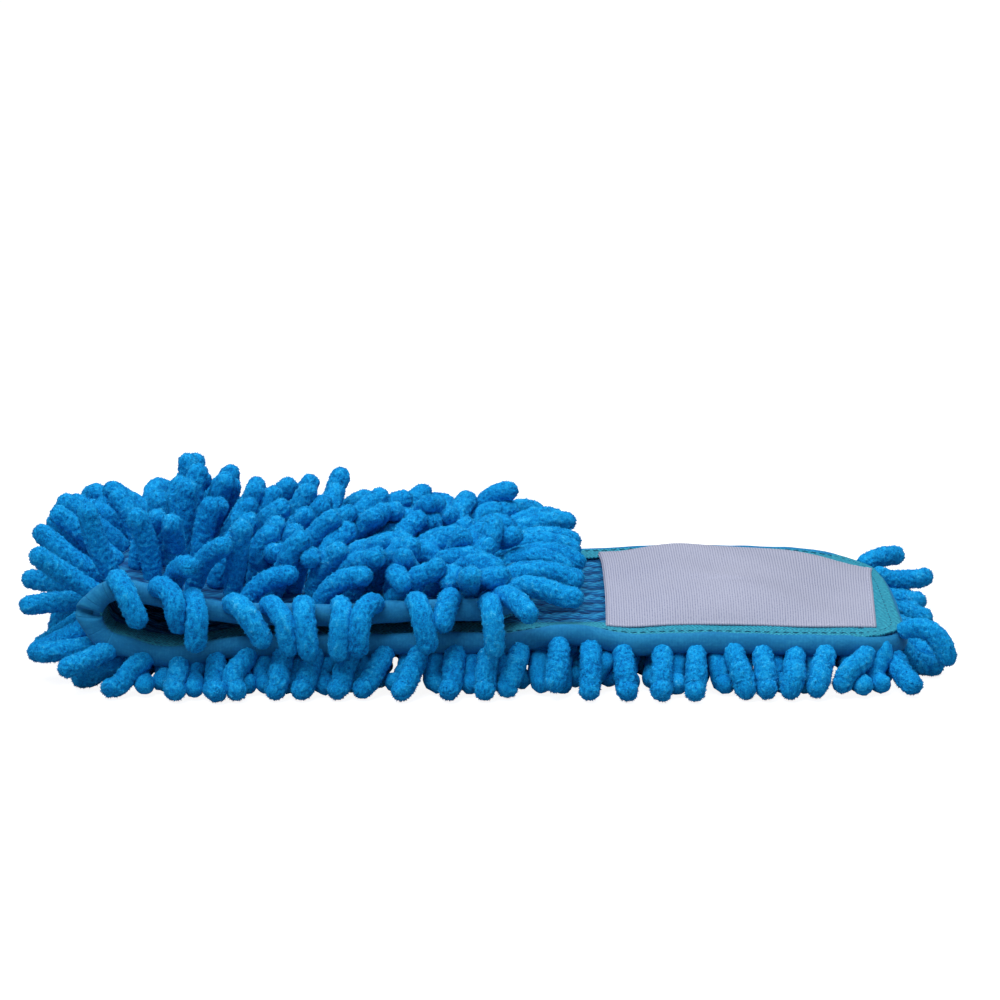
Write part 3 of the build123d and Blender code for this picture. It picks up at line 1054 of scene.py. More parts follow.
    def fold_binding(self, name: str, u_range: tuple[float, float], nodes: list[str]) -> bpy.types.Object:
        """Make the binding of one stretch of the fold, on both long edges.

        Args:
            name: The piece's name.
            u_range: Its stretch along the cloth.
            nodes: CAD nodes that it stands for.

        Returns:
            The piece.
        """
        data = MeshData()
        for side in Side:
            rng = np.random.default_rng(SEED + 7)
            count = 21
            u = np.linspace(*u_range, count)
            y = np.full(count, side.value * (self.form.half_width - self.form.binding_width / 2))
            line = np.stack([u, y, np.zeros(count), np.full(count, float(side.value))], axis=-1)
            self.roll(data, line, u, rng)
        return self.wardrobe.dress(data, name, self.wardrobe.binding, nodes)

    def stitches(self, places: list[tuple], name: str, finish: Finish, nodes: list[str]) -> bpy.types.Object:
        """Make a line of stitches.

        Args:
            places: For each stitch, its middle's u, y and z, its direction in u and y, and its length.
            name: The piece's name.
            finish: The thread.
            nodes: CAD nodes that it stands for.

        Returns:
            The piece.
        """
        data = MeshData()
        along = np.linspace(-1, 1, 9)
        angles = np.linspace(0, 2 * math.pi, 8, endpoint=False)
        profile = np.sqrt(np.clip(1 - (along * 0.97) ** 4, 0.02, 1))
        thick = self.thread
        for u, y, z, du, dy, length in places:
            line_u = u + du * along * length / 2
            line_y = y + dy * along * length / 2
            arch = z + 0.12 * MM * (1 - along**2) - 0.1 * MM
            ring_u = line_u[:, None] - dy * thick * profile[:, None] * np.cos(angles)[None, :]
            ring_y = line_y[:, None] + du * thick * profile[:, None] * np.cos(angles)[None, :]
            ring_z = arch[:, None] + thick * 0.8 * profile[:, None] * np.sin(angles)[None, :]
            data.add_tube(self.form.place(ring_u, ring_y, ring_z))
        return self.wardrobe.dress(data, name, finish, nodes)

    def binding_seam(self, name: str, panel: Panel) -> bpy.types.Object:
        """Make the seam that holds a panel's binding, just inside it.

        Args:
            name: The piece's name.
            panel: The panel.

        Returns:
            The piece.
        """
        inset = self.form.binding_width - 0.3 * MM
        line = self.form.outline(panel.length, inset, 3.4 * MM, 3 * MM)
        places = []
        for (x, y, *_), (next_x, next_y, *_) in zip(line[:-1], line[1:]):
            step = np.array([(next_x - x) * panel.sign, next_y - y])
            length = float(np.linalg.norm(step))
            if length < 1 * MM:
                continue
            du, dy = step / length
            middle = (x + next_x) / 2
            height = self.form.base + self.form.facing + 0.35 * MM
            places.append((panel.u(middle), (y + next_y) / 2, height, du, dy, length * 0.66))
        return self.stitches(places, name, self.wardrobe.dark_thread, [])


@dataclass
class Pocket:
    """A slack pocket of rib knit on the back of a panel, open towards the fold."""

    maker: ClothMaker
    panel: Panel
    rise: float
    mouth_share: float
    length: float = 100 * MM
    width: float = 100 * MM
    end_margin: float = 12.5 * MM
    flange: float = 3 * MM
    sheet: float = 0.8 * MM
    tuck: float = 2.2 * MM

    def mouth(self) -> float:
        """Place of the pocket's mouth along the panel."""
        return self.panel.length - self.end_margin - self.length

    def shape(self, along: np.ndarray, across: np.ndarray) -> np.ndarray:
        """Height of the pocket cloth off its seam, for shares of its length and half width.

        Args:
            along: Share of its length.
            across: Share of its half width.

        Returns:
            The height.
        """
        belly = self.mouth_share + (1 - self.mouth_share) * ease(along / 0.34)
        belly = belly * (1 - ease((along - 0.5) / 0.5))
        arch = np.clip(1 - np.abs(across / 0.98) ** 4.5, 0, 1)
        fold = 0.6 * MM * np.sin(along * 11 + across * 3) * np.sin(across * 5 + along * 2)
        crease = -0.9 * MM * np.exp(-(((across + 0.35 + 0.25 * (along - 0.4)) / 0.05) ** 2))
        crease = crease * bump_curve(along, 0.42, 0.22)
        pull = -0.8 * MM * np.exp(-(((across + 0.1 - 0.5 * (along - 0.8)) / 0.06) ** 2))
        pull = pull * bump_curve(along, 0.8, 0.16)
        inside = np.clip((1 - np.abs(across)) / 0.2, 0, 1) * np.clip((1 - along) / 0.15, 0, 1)
        return self.rise * belly * arch + (fold + crease + pull) * inside

    def outline(self, along: np.ndarray, across: np.ndarray) -> tuple[np.ndarray, np.ndarray]:
        """Places u and y on the cloth, for shares of the pocket's length and half width.

        The closed end slants, and its far corner is cut off, to follow the panel's drooping corner.

        Args:
            along: Share of its length.
            across: Share of its half width.

        Returns:
            Places along and across the cloth.
        """
        bow = 0.8 * MM * (1 - across**2) * (1 - along) ** 8
        far = np.clip(across, 0, 1)
        slant = 8.5 * MM * (across + 1) / 2 * ease((along - 0.4) / 0.6)
        corner = 1 - 0.26 * far * ease((along - 0.76) / 0.24)
        waist = 1 - 0.012 * np.sin(along * math.pi) + 0.004 * np.sin(along * 19)
        u = self.panel.u(self.mouth() + self.tuck + along * (self.length - self.tuck) + bow + slant)
        y = across * self.width / 2 * waist * corner + 1.0 * MM * (1 - far)
        return u, y

    def grid(self, x_share: tuple[float, float], rows: int) -> tuple[np.ndarray, ...]:
        """Grid over a part of the pocket: u, y, shares along and across, and height.

        Args:
            x_share: Ends of the part, as shares of the pocket's length.
            rows: Rows of the grid.

        Returns:
            The five arrays, in that order.
        """
        along = np.linspace(*x_share, rows)[:, None]
        across = np.linspace(-1, 1, 120)[None, :]
        along, across = np.broadcast_arrays(along, across)
        u, y = self.outline(along, across)
        seat = self.maker.form.base + self.maker.form.facing + 0.25 * MM
        return u, y, along, across, seat + self.shape(along, across)

    def cloth(self) -> bpy.types.Object:
        """Make the pocket cloth.

        Returns:
            The piece.
        """
        u, y, along, _, height = self.grid((0, 1), 130)
        place = self.maker.form.place
        return self.sew("cloth", "pocket", along, y, place(u, y, height + self.sheet), place(u, y, height))

    def sew(
        self,
        kind: str,
        node: str,
        along: np.ndarray,
        y: np.ndarray,
        top: np.ndarray,
        bottom: np.ndarray,
    ) -> bpy.types.Object:
        """Make a piece of the pocket cloth.

        Args:
            kind: End of the piece's name.
            node: End of the name of the CAD node that it stands for.
            along: Its grid's shares of the pocket's length.
            y: The grid's places across.
            top: Its upper face.
            bottom: Its lower face.

        Returns:
            The piece.
        """
        data = MeshData()
        cloth = np.stack([along * self.length, y, np.zeros_like(y)], axis=-1)
        data.add_slab(top, bottom, flip=self.panel.sign < 0, cloth=cloth)
        name, wardrobe = self.panel.name, self.maker.wardrobe
        return wardrobe.dress(data, f"{name}_pocket_{kind}", wardrobe.pocket, [f"{name}_{node}"])

    def hem(self) -> bpy.types.Object:
        """Make the hem turned in under the mouth, with its rolled edge.

        Returns:
            The piece.
        """
        u, y, along, across, height = self.grid((-0.004, 0.08), 14)
        form = self.maker.form
        roll = np.clip(1 - along / 0.012, 0, 1) * 0.5 * MM
        edge = np.clip((1 - np.abs(across)) / 0.08, 0, 1)
        top = form.place(u, y, height - 0.05 * MM + roll * edge)
        bottom = form.place(u, y, height - 0.05 * MM - (0.7 * MM - roll) * edge * 0.8 - 0.02 * MM)
        return self.sew("mouth_hem", "pocket_hem", along, y, top, bottom)

    def seam(self) -> bpy.types.Object:
        """Make the stitches down both sides and across the closed end.

        Returns:
            The piece.
        """
        pitch = 3.6 * MM
        top = self.maker.form.base + self.maker.form.facing + self.sheet + 0.3 * MM
        inset = self.flange / self.width
        sides = int((self.length - self.flange) / pitch)
        ends = int((self.width - 2 * self.flange) / pitch)
        route = [((index + 0.5) / sides, side.value * (1 - inset)) for side in Side for index in range(sides)]
        route += [(1 - inset * 0.5, (1 - inset) * (2 * (index + 0.5) / ends - 1)) for index in range(ends)]
        places = []
        for number, (along, across) in enumerate(route):
            step = (0.0, 0.02) if number >= 2 * sides else (0.02, 0.0)
            u, y = self.outline(np.array(along), np.array(across))
            ahead = self.outline(np.array(along + step[0]), np.array(across + step[1]))
            way = unit(np.array([float(ahead[0] - u), float(ahead[1] - y)]))
            places.append((float(u), float(y), top, way[0], way[1], 2.3 * MM))
        name = f"{self.panel.name}_pocket_stitches"
        nodes = [f"{self.panel.name}_pocket_seam"]
        return self.maker.stitches(places, name, self.maker.wardrobe.pale_thread, nodes)

    def make(self) -> None:
        """Make the pocket and attach its pieces to their panel's body."""
        cloth, hem, seam = self.cloth(), self.hem(), self.seam()
        body = "lower_panel" if self.panel.sign > 0 else "flap"
        for piece in (cloth, hem, seam):
            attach(piece, body)


# ---- Noodles ----------------------------------------------------------------------------------------
@dataclass
class Tuft:
    """One chenille noodle before it settles: its root, its piece, and the way it wants to grow.

    Directions are along the panel, across it (towards the back), and out of the chenille side.
    """

    piece: str
    u: float
    y: float
    start: tuple[float, float, float]
    end: tuple[float, float, float]
    length: float
    radius: float
    sink: float = 0.0


@dataclass
class Thicket:
    """All of the mitt's noodles: plants them, lets them settle against each other, and makes them."""

    form: MittForm
    wardrobe: Wardrobe
    rng: np.random.Generator = field(default_factory=lambda: np.random.default_rng(SEED))
    tufts: list[Tuft] = field(default_factory=list)
    joints: int = 9
    radius: float = 3.85 * MM
    length: float = 27.0 * MM
    rows: int = 11
    edge_inset: float = 13.0 * MM
    rings: int = 48
    around: int = 52
    bristles: int = 560
    clearance: float = 0.75 * MM
    overhang: tuple[float, float] = (13.8 * MM, 8.0 * MM)
    rounds: int = 80
    quick_rounds: int = 20
    hold: tuple[float, float] = (0.30, 0.03)
    closeness: float = 0.96
    give: float = 0.42
    binding_height: float = 3.7 * MM
    coarse: float = 0.42

    # How far each noodle of the lower front edge leans to the right, in degrees, from the fold on.
    front_leans = (
        *(-58, -50, 0, 4, -34, -14, -16, -20, -34, -28, -8, -6),
        *(-24, -8, -4, 4, -4, -6, 20, 0, -18, -26, -46),
    )
    # The same for the flap's front edge, where the noodles hang down over the binding.
    flap_leans = (16, 30, 6, 30, 24, 4, 6, -18, 12, -12, 6)

    def grow(self, lean: float, heading: float) -> tuple[float, float, float]:
        """Direction that leans by lean from straight out, towards heading.

        Args:
            lean: Degrees from straight out of the cloth.
            heading: Degrees from the panel's length, turning towards the back.

        Returns:
            The direction's parts along, across and out.
        """
        tilt, turn = math.radians(lean), math.radians(heading)
        return math.sin(tilt) * math.cos(turn), math.sin(tilt) * math.sin(turn), math.cos(tilt)

    def row_y(self, row: int) -> float:
        """Place across the mitt of a row, from 1 at the front to 11 at the back."""
        span = self.form.half_width - self.edge_inset
        return -span + 2 * span * (row - 1) / (self.rows - 1)

    def columns(self, row: int, length: float) -> list[float]:
        """Places along a panel of a row's noodles, short of its end.

        Args:
            row: The row's number.
            length: The panel's length.

        Returns:
            The places.
        """
        reach = length - 24 * MM
        steps = round(reach / (7.2 * MM))
        return [4.5 * MM + column * reach / steps for column in range((row - 1) % 2, steps + 1, 2)]

    def sprout(
        self,
        piece: str,
        u: float,
        y: float,
        start: tuple[float, float, float],
        end: tuple[float, float, float],
        stretch: float = 1.0,
        sink: float = 0.0,
    ) -> None:
        """Plant one noodle, with its own small differences.

        Args:
            piece: Name of the CAD node whose piece it belongs to.
            u: Place along the cloth.
            y: Place across it.
            start: Way it grows at its root.
            end: Way it points at its tip.
            stretch: Its length, as a share of the usual one.
            sink: How far outside the chenille side its root is.
        """
        length = self.length * stretch * self.rng.uniform(0.93, 1.05)
        radius = self.radius * self.rng.uniform(0.95, 1.03)
        self.tufts.append(Tuft(piece, u, y, start, end, length, radius, sink))

    def plant_lower(self) -> None:
        """Plant the lower panel's noodles, pressed down by the mitt's weight."""
        for row in range(2, self.rows):
            for x in self.columns(row, self.form.lower_length):
                heading = self.rng.normal(0, 24)
                lean = 64 + self.rng.normal(0, 5)
                piece = f"lower_noodles_row_{row:02d}"
                self.sprout(piece, x, self.row_y(row), self.grow(35, heading), self.grow(lean, heading), 0.9)

    def plant_lower_start(self) -> None:
        """Plant the noodles that spread out from under the fold."""
        for row in range(2, self.rows):
            y = self.row_y(row)
            for u, lean in ((1.0, 68), (7.5, 62)):
                heading = 180 - 30 * (y / self.form.half_width) + self.rng.normal(0, 12)
                self.sprout(
                    f"lower_noodles_row_{row:02d}",
                    u * MM,
                    y + (1.5 * MM if lean > 65 else -1.5 * MM),
                    self.grow(40, heading),
                    self.grow(lean + self.rng.normal(0, 5), heading),
                    1.05,
                )
        for side, row in ((Side.FRONT, 1), (Side.BACK, self.rows)):
            for u, inset, out, drop in ((-1.5, 11.5, 0.3, 0.5), (5.0, 15.0, 0.5, 0.9)):
                self.sprout(
                    f"lower_noodles_row_{row:02d}_start",
                    u * MM,
                    side.value * (self.form.half_width - inset * MM),
                    (-0.75, side.value * out, 0.55),
                    (-0.95, side.value * out, drop),
                    1.15,
                    sink=1.0 * MM,
                )

    def plant_lower_edges(self) -> None:
        """Plant the rows that come out from under the lower panel's long edges."""
        count = len(self.front_leans)
        start, end = -1 * MM, self.form.lower_length - 17 * MM
        for side, row in ((Side.FRONT, 1), (Side.BACK, self.rows)):
            for index in range(count):
                x = start + (end - start) * index / (count - 1) + self.rng.normal(0, 0.8 * MM)
                lean = self.front_leans[index] if side is Side.FRONT else self.rng.normal(0, 18)
                sideways = math.tan(math.radians(lean))
                flop = self.rng.uniform(0.35, 0.55)
                self.sprout(
                    f"lower_noodles_row_{row:02d}",
                    x,
                    side.value * (self.form.half_width - 4.5 * MM),
                    (sideways * 0.4, side.value, 0.35),
                    (sideways * 0.8, side.value * flop, 0.8),
                    0.9,
                    sink=2.0 * MM,
                )
                self.sprout(
                    f"lower_noodles_row_{row:02d}_under",
                    x + 6.5 * MM + self.rng.normal(0, 1.2 * MM),
                    side.value * (self.form.half_width - 11 * MM),
                    (self.rng.normal(0, 0.4), side.value * 0.7, 0.7),
                    (self.rng.normal(0, 0.5), side.value * 0.75, 0.9),
                    1.0,
                )
                self.sprout(
                    f"lower_noodles_row_{row:02d}_under",
                    x + self.rng.normal(0, 2 * MM),
                    side.value * (self.form.half_width - 17 * MM),
                    (self.rng.normal(0, 0.4), side.value * 0.5, 0.8),
                    (self.rng.normal(0, 0.5), side.value * 0.9, 0.5),
                    0.95,
                )

    def plant_ends(
        self, name: str, length: float, u_of: Callable[[float], float], droop: float, stretch: float
    ) -> None:
        """Plant the noodles that stick out past a panel's end, in a fan round its corners.

        Args:
            name: The panel's name.
            length: The panel's length.
            u_of: Function from a place along the panel to u.
            droop: How much their tips turn out of the chenille side.
            stretch: Length of those that show, as a share of the usual one.
        """
        for row in range(1, self.rows + 1):
            y = self.row_y(row)
            fan = math.radians(52) * np.sign(y) * (abs(y) / self.row_y(self.rows)) ** 2.5
            fan += math.radians(self.rng.normal(0, 11))
            edge = float(self.form.half_at(np.array(length), length, 0.0))
            inset = (8.5 + 3.0 * (row % 2)) * MM + max(0.0, abs(y) - edge) * 0.35
            way = (math.cos(fan), math.sin(fan))
            under = row % 2 == 0 and name == "lower"
            turned = 0.5 if under else droop
            self.sprout(
                f"{name}_noodles_row_{row:02d}",
                u_of(length - inset),
                y,
                (way[0] * 0.8, way[1] * 0.8, 1.1 if under else 0.6),
                (way[0], way[1], turned * (1 - 0.6 * row / self.rows) + self.rng.normal(0, 0.12)),
                1.02 if under else stretch,
                sink=0.5 * MM,
            )

    def plant_corners(self) -> None:
        """Plant the noodles at the lower panel's end corners: one is caught in the front seam."""
        for turn, rise in ((80, 0.1), (48, 0.3)):
            self.plant_corner(Side.BACK, turn, 2.0 * MM, (1.0, 0.1 - rise), (0.9, 0.15), -1.5 * MM)
        self.plant_corner(Side.FRONT, 60, 1.5 * MM, (0.9, -0.5), (0.5, 1.1), -2.2 * MM)

    def plant_corner(
        self,
        side: Side,
        turn: float,
        inset: float,
        start: tuple[float, float],
        end: tuple[float, float],
        sink: float,
    ) -> None:
        """Plant one noodle at an end corner of the lower panel.

        Args:
            side: The long edge that the corner ends.
            turn: Degrees round the corner from that edge.
            inset: Distance of its root from the panel's edge.
            start: Way it grows at its root: away from the corner's centre, and out of the chenille side.
            end: The same at its tip.
            sink: How far outside the chenille side its root is.
        """
        angle = math.radians(turn)
        way = (math.sin(angle), side.value * math.cos(angle))
        reach = self.form.corner - inset
        straight = self.form.half_width - self.form.corner
        self.sprout(
            f"lower_noodles_row_{1 if side is Side.FRONT else self.rows:02d}_end",
            self.form.lower_length - self.form.corner + reach * way[0],
            side.value * straight + reach * way[1],
            (start[0] * way[0], start[0] * way[1], start[1]),
            (end[0] * way[0], end[0] * way[1], end[1]),
            0.95,
            sink=sink,
        )

    def plant_flap(self) -> None:
        """Plant the flap's noodles: upright near the fold, then tumbled over each other."""
        for row in range(2, self.rows):
            for x in self.columns(row, self.form.flap_length):
                share = x / self.form.flap_length
                lean = np.interp(share, [0, 0.12, 0.3, 0.5, 0.7, 1.0], [2, 20, 30, 38, 64, 74])
                lean = lean + self.rng.normal(0, 13)
                heading = self.rng.normal(0, 42)
                if share < 0.06:
                    lean, heading = lean + 80 * float(ease((row - 3) / 6)), 155 + self.rng.normal(0, 15)
                if row <= 3:
                    heading = -38 + self.rng.normal(0, 34)
                    lean = lean + 8
                stretch = np.interp(share, [0, 0.07, 0.13, 0.5, 1.0], [1.0, 1.05, 1.16, 1.1, 0.98])
                piece = f"flap_noodles_row_{row:02d}"
                start, end = self.grow(lean * 0.3, heading), self.grow(lean * 1.4, heading)
                self.sprout(piece, self.form.flap_u(x), self.row_y(row), start, end, stretch)

    def plant_flap_edges(self) -> None:
        """Plant the rows that hang over the flap's long edges."""
        count = len(self.flap_leans)
        start, end = 1 * MM, self.form.flap_length - 13 * MM
        for side, row in ((Side.FRONT, 1), (Side.BACK, self.rows)):
            for index in range(count):
                x = start + (end - start) * index / (count - 1)
                lean = self.flap_leans[index] if side is Side.FRONT else self.rng.normal(10, 18)
                short = side is Side.FRONT and index == count - 2
                hang = -1.5 if side is Side.FRONT else -0.7
                self.sprout(
                    f"flap_noodles_row_{row:02d}",
                    self.form.flap_u(x),
                    side.value * (self.form.half_width - 7.0 * MM),
                    (math.tan(math.radians(lean)) * 0.3, side.value * 0.9, 0.75),
                    (math.tan(math.radians(lean)) * 1.5, side.value * (0.9 if short else 0.1), hang),
                    0.9 if short else 1.26,
                )
                if index % 2:
                    heading = side.value * 50 + self.rng.normal(0, 25)
                    self.sprout(
                        f"flap_noodles_row_{row:02d}",
                        self.form.flap_u(x + 5 * MM),
                        side.value * (self.form.half_width - 12.5 * MM),
                        self.grow(20, heading),
                        self.grow(78, heading),
                        1.0,
                    )

    def plant_fold(self) -> None:
        """Plant the fold's noodles, which fan out round it."""
        for number in range(1, len(self.form.hinges)):
            u = self.form.strip * (0.5 - number)
            for row in range(1 + number % 2, self.rows + 1, 2):
                y = self.row_y(row)
                edge = y / self.form.half_width
                far = float(ease(edge)) * (number > 2)
                tilt = {1: -12, 2: -8}.get(number, 5) + self.rng.normal(0, 8)
                if number > 4:
                    tilt += 25 if edge < -0.35 else -30 - 16 * far
                swing = self.rng.normal(0, 14)
                self.sprout(
                    f"fold_{number}_noodles",
                    u,
                    y,
                    (-0.4 * (number > 4) * (edge > -0.35), edge * (0.15 + 0.25 * far), 1.0),
                    self.grow(abs(tilt) + 4, swing * 2 if tilt > 0 else 180 + swing * 2),
                    (1.16 if number > 1 else 0.98) - (0.3 if number < 5 else 0.38) * far,
                )

    def basis(self, tuft: Tuft) -> tuple[np.ndarray, np.ndarray]:
        """Root and basis of a tuft.

        Args:
            tuft: The tuft.

        Returns:
            Its root in the row frame, and the directions along, across and out as rows.
        """
        angle = float(self.form.angle(np.array(tuft.u)))
        out = -self.form.back(angle)
        on_lower = tuft.piece.startswith("lower")
        along = -self.form.travel(angle) if on_lower else self.form.travel(angle)
        root = self.form.place(tuft.u, tuft.y, 0.2 * MM).reshape(3) + out * tuft.sink
        return root, np.stack([along, np.array([0.0, 1.0, 0.0]), out])

    def settle(self) -> np.ndarray:
        """Let the noodles push each other apart, off the cloth, the bindings and the floor.

        Returns:
            Points of each noodle's centre line, from its root.
        """
        placed = [self.basis(tuft) for tuft in self.tufts]
        root = np.array([item[0] for item in placed])
        basis = np.array([item[1] for item in placed])
        start = unit(np.einsum("ni,nij->nj", np.array([tuft.start for tuft in self.tufts]), basis))
        end = unit(np.einsum("ni,nij->nj", np.array([tuft.end for tuft in self.tufts]), basis))
        radius = np.array([tuft.radius for tuft in self.tufts])
        step = (np.array([tuft.length for tuft in self.tufts]) - radius) / (self.joints - 1)
        share = np.linspace(0, 1, self.joints - 1)[None, :, None]
        ways = unit(start[:, None] * (1 - share) + end[:, None] * share)
        line = np.cumsum(ways * step[:, None, None], axis=1)
        wanted = root[:, None] + np.concatenate([np.zeros((len(root), 1, 3)), line], axis=1)
        points = wanted.copy()
        hold = np.linspace(*self.hold, self.joints)[None, :, None]
        owner = np.repeat(np.arange(len(root)), self.joints)
        size = np.repeat(radius, self.joints)
        free = np.tile(np.arange(self.joints) > 1, len(root))
        room = np.array(CAD_BOX[1][:2]) + np.array(self.overhang)
        for _ in range(self.rounds):
            points += (wanted - points) * hold
            flat = points.reshape(-1, 3)
            self.part(flat, owner, size, free)
            points = flat.reshape(points.shape)
            self.clear_cloth(points, root, basis, radius)
            self.clear_bindings(points, radius)
            points[..., 2] = np.maximum(points[..., 2], radius[:, None] + self.clearance)
            points[..., :2] = np.clip(points[..., :2], -room, room)
            points[:, 0] = root
            for index in range(1, self.joints):
                way = unit(points[:, index] - points[:, index - 1])
                points[:, index] = points[:, index - 1] + way * step[:, None]
        return points

    def part(self, flat: np.ndarray, owner: np.ndarray, size: np.ndarray, free: np.ndarray) -> None:
        """Push apart the points of different noodles that are too close.

        Args:
            flat: Points, one row each. They are moved in place.
            owner: Noodle that each point belongs to.
            size: Radius at each point.
            free: Whether each point may move.
        """
        order = np.argsort(flat[:, 0])
        places = flat[order]
        reach = 2 * size.max()
        ends = np.searchsorted(places[:, 0], places[:, 0] + reach)
        counts = ends - np.arange(len(places)) - 1
        first = np.repeat(np.arange(len(places)), counts)
        skipped = np.repeat(np.cumsum(counts) - counts, counts)
        second = first + 1 + np.arange(len(first)) - skipped
        first, second = order[first], order[second]
        keep = (owner[first] != owner[second]) & (np.abs(flat[first, 1] - flat[second, 1]) < reach)
        first, second = first[keep], second[keep]
        gap = flat[first] - flat[second]
        far = np.linalg.norm(gap, axis=1)
        want = (size[first] + size[second]) * self.closeness
        close = far < want
        first, second, gap, far, want = first[close], second[close], gap[close], far[close], want[close]
        push = gap / np.maximum(far, 1e-6)[:, None] * ((want - far) * self.give)[:, None]
        np.add.at(flat, first, push * free[first][:, None])
        np.add.at(flat, second, -push * free[second][:, None])

    def clear_cloth(
        self, points: np.ndarray, root: np.ndarray, basis: np.ndarray, radius: np.ndarray
    ) -> None:
        """Keep each noodle off the chenille side that it grows from, while it is over the cloth.

        Args:
            points: Points of each noodle, changed in place.
            root: Root of each.
            basis: Each root's frame.
            radius: Radius of each.
        """
        out = basis[:, 2]
        depth = np.einsum("nij,nj->ni", points - root[:, None], out)
        over = np.abs(points[..., 1]) < self.form.half_width - 7 * MM
        ramp = np.clip(np.arange(self.joints) / 2.5, 0, 1)[None, :]
        through = np.array([tuft.sink < -2 * MM for tuft in self.tufts])[:, None]
        lift = np.where(over & ~through, np.maximum(radius[:, None] * 0.95 * ramp - depth, 0), 0)
        points += lift[..., None] * out[:, None]

    def clear_bindings(self, points: np.ndarray, radius: np.ndarray) -> None:
        """Keep the noodles' free parts off the rolled bindings of both panels.

        Args:
            points: Points of each noodle, changed in place.
            radius: Radius of each.
        """
        inset = self.form.binding_width / 2
        middle = self.form.base / 2 - 0.2 * MM
        clear = (radius + self.binding_height)[:, None]
        free = (np.arange(self.joints) > 2)[None, :]
        for length, sign, shift in (
            (self.form.lower_length, 1, 0.0),
            (self.form.flap_length, -1, self.form.flap_u(0.0)),
        ):
            start = self.form.plain(shift, 0.0, middle)
            ahead = self.form.plain(shift + sign * length, 0.0, middle)
            along = unit(ahead - start)
            back = np.cross(along, [0.0, 1.0, 0.0])
            offset = points - start
            x, y = offset @ along, offset[..., 1]
            line = start + x[..., None] * along
            z = offset @ back - self.form.sway(line) * back[2]
            for edge in (-1, 1):
                dy = y - edge * (self.form.half_width - inset)
                far = np.sqrt(dy**2 + z**2)
                beside = (x > -2 * MM) & (x < length - 12 * MM)
                push = np.where(beside & free, np.maximum(clear - far, 0), 0) / np.maximum(far, 1e-5)
                points[..., 1] += dy * push
                points += (z * push)[..., None] * back
            dx = x - (length - inset)
            far = np.sqrt(dx**2 + z**2)
            beside = np.abs(y) < self.form.half_width - 12 * MM
            push = np.where(beside & free, np.maximum(clear - far, 0), 0) / np.maximum(far, 1e-5)
            points += (dx * push)[..., None] * along + (z * push)[..., None] * back

    def centre_line(self, line: np.ndarray, rings: int) -> np.ndarray:
        """Smooth curve through a settled noodle's points.

        Args:
            line: The noodle's points.
            rings: Number of points to give.

        Returns:
            Points of the curve.
        """
        ahead = np.concatenate([line[:1] * 2 - line[1:2], line, line[-1:] * 2 - line[-2:-1]])
        place = np.linspace(0, len(line) - 1, rings)
        whole = np.minimum(place.astype(int), len(line) - 2)
        part = (place - whole)[:, None]
        a, b, c, d = (ahead[whole + offset] for offset in range(4))
        return 0.5 * (
            2 * b + (c - a) * part + (2 * a - 5 * b + 4 * c - d) * part**2 + (3 * b - a - 3 * c + d) * part**3
        )

    def plush(self, share: np.ndarray, around: int, scale: float) -> tuple[np.ndarray, np.ndarray]:
        """Surface of a noodle's pile: bunched fibre ends in broken rings, on slow lumps.

        Args:
            share: Place of each ring along the noodle, from 0 to 1.
            around: Points of a ring.
            scale: Rings per ring of a fully modelled noodle.

        Returns:
            Height off the smooth noodle in metres, and the painted shade of each point, which follows that
            height.
        """
        shape = (len(share), around)
        grain = smooth_noise(self.rng, shape, (0.62 * scale, 0.75 * scale))
        bunch = smooth_noise(self.rng, shape, (1.3 * scale, 2.4 * scale))
        lumps = smooth_noise(self.rng, shape, (7.0 * scale, 7.0 * scale))
        turn = np.arange(len(share))[:, None] / scale * 1.75
        rings = np.sin(turn + 0.9 * bunch) * np.interp(share, [0, 0.5, 0.95, 1], [1.0, 0.65, 0.2, 0])[:, None]
        fine = 0.15 * np.clip(grain, -1.6, 2.4) + 0.03 * bunch + 0.09 * rings
        # The second value follows the pile's height: painted highlight on raised pile, painted shade in its
        # hollows.
        return (fine + 0.08 * lumps) * MM, 0.4 * fine + 0.01 * lumps

    def bristle(self, data: MeshData, skin: np.ndarray, out: np.ndarray, tone: np.ndarray) -> None:
        """Add the fibre bunches that stand out of a noodle's surface, as small closed spikes.

        Args:
            data: Mesh to add to.
            skin: Points of the noodle's surface, as rings and points of a ring.
            out: Outward direction at each of them.
            tone: Painted shade and random tone at each of them.
        """
        rings, around = skin.shape[:2]
        count = self.bristles
        place = np.sqrt(self.rng.uniform(0.02, 1, count)) * (rings - 2)
        ring = place.astype(int)
        column = self.rng.integers(0, around, count)
        part = (place - ring)[:, None]
        base = skin[ring, column] * (1 - part) + skin[ring + 1, column] * part
        way = unit(out[ring, column] + self.rng.normal(0, 0.38, (count, 3)))
        side = unit(np.cross(way, self.rng.normal(0, 1, (count, 3))))
        up = np.cross(way, side)
        height = self.rng.uniform(0.35, 0.75, count)[:, None] * MM
        girth = self.rng.uniform(0.20, 0.30, count)[:, None] * MM
        sunk = base - way * 0.25 * MM
        corners = [
            sunk + girth * (side * math.cos(turn) + up * math.sin(turn))
            for turn in (0, 2 * math.pi / 3, 4 * math.pi / 3)
        ]
        points = np.stack([*corners, base + way * height], axis=1).reshape(-1, 3)
        first = np.arange(count)[:, None] * 4
        faces = np.array([[0, 1, 3], [1, 2, 3], [2, 0, 3], [0, 2, 1]])
        # Each spike's three root points are painted darker and its tip lighter: painted shade and painted
        # highlight.
        shade = np.repeat(tone[ring, column], 4) + np.tile([-0.10, -0.10, -0.10, 0.16], count)
        data.add(points, np.zeros((0, 4), int), (first[:, None] + faces[None]).reshape(-1, 3), fluff=shade)

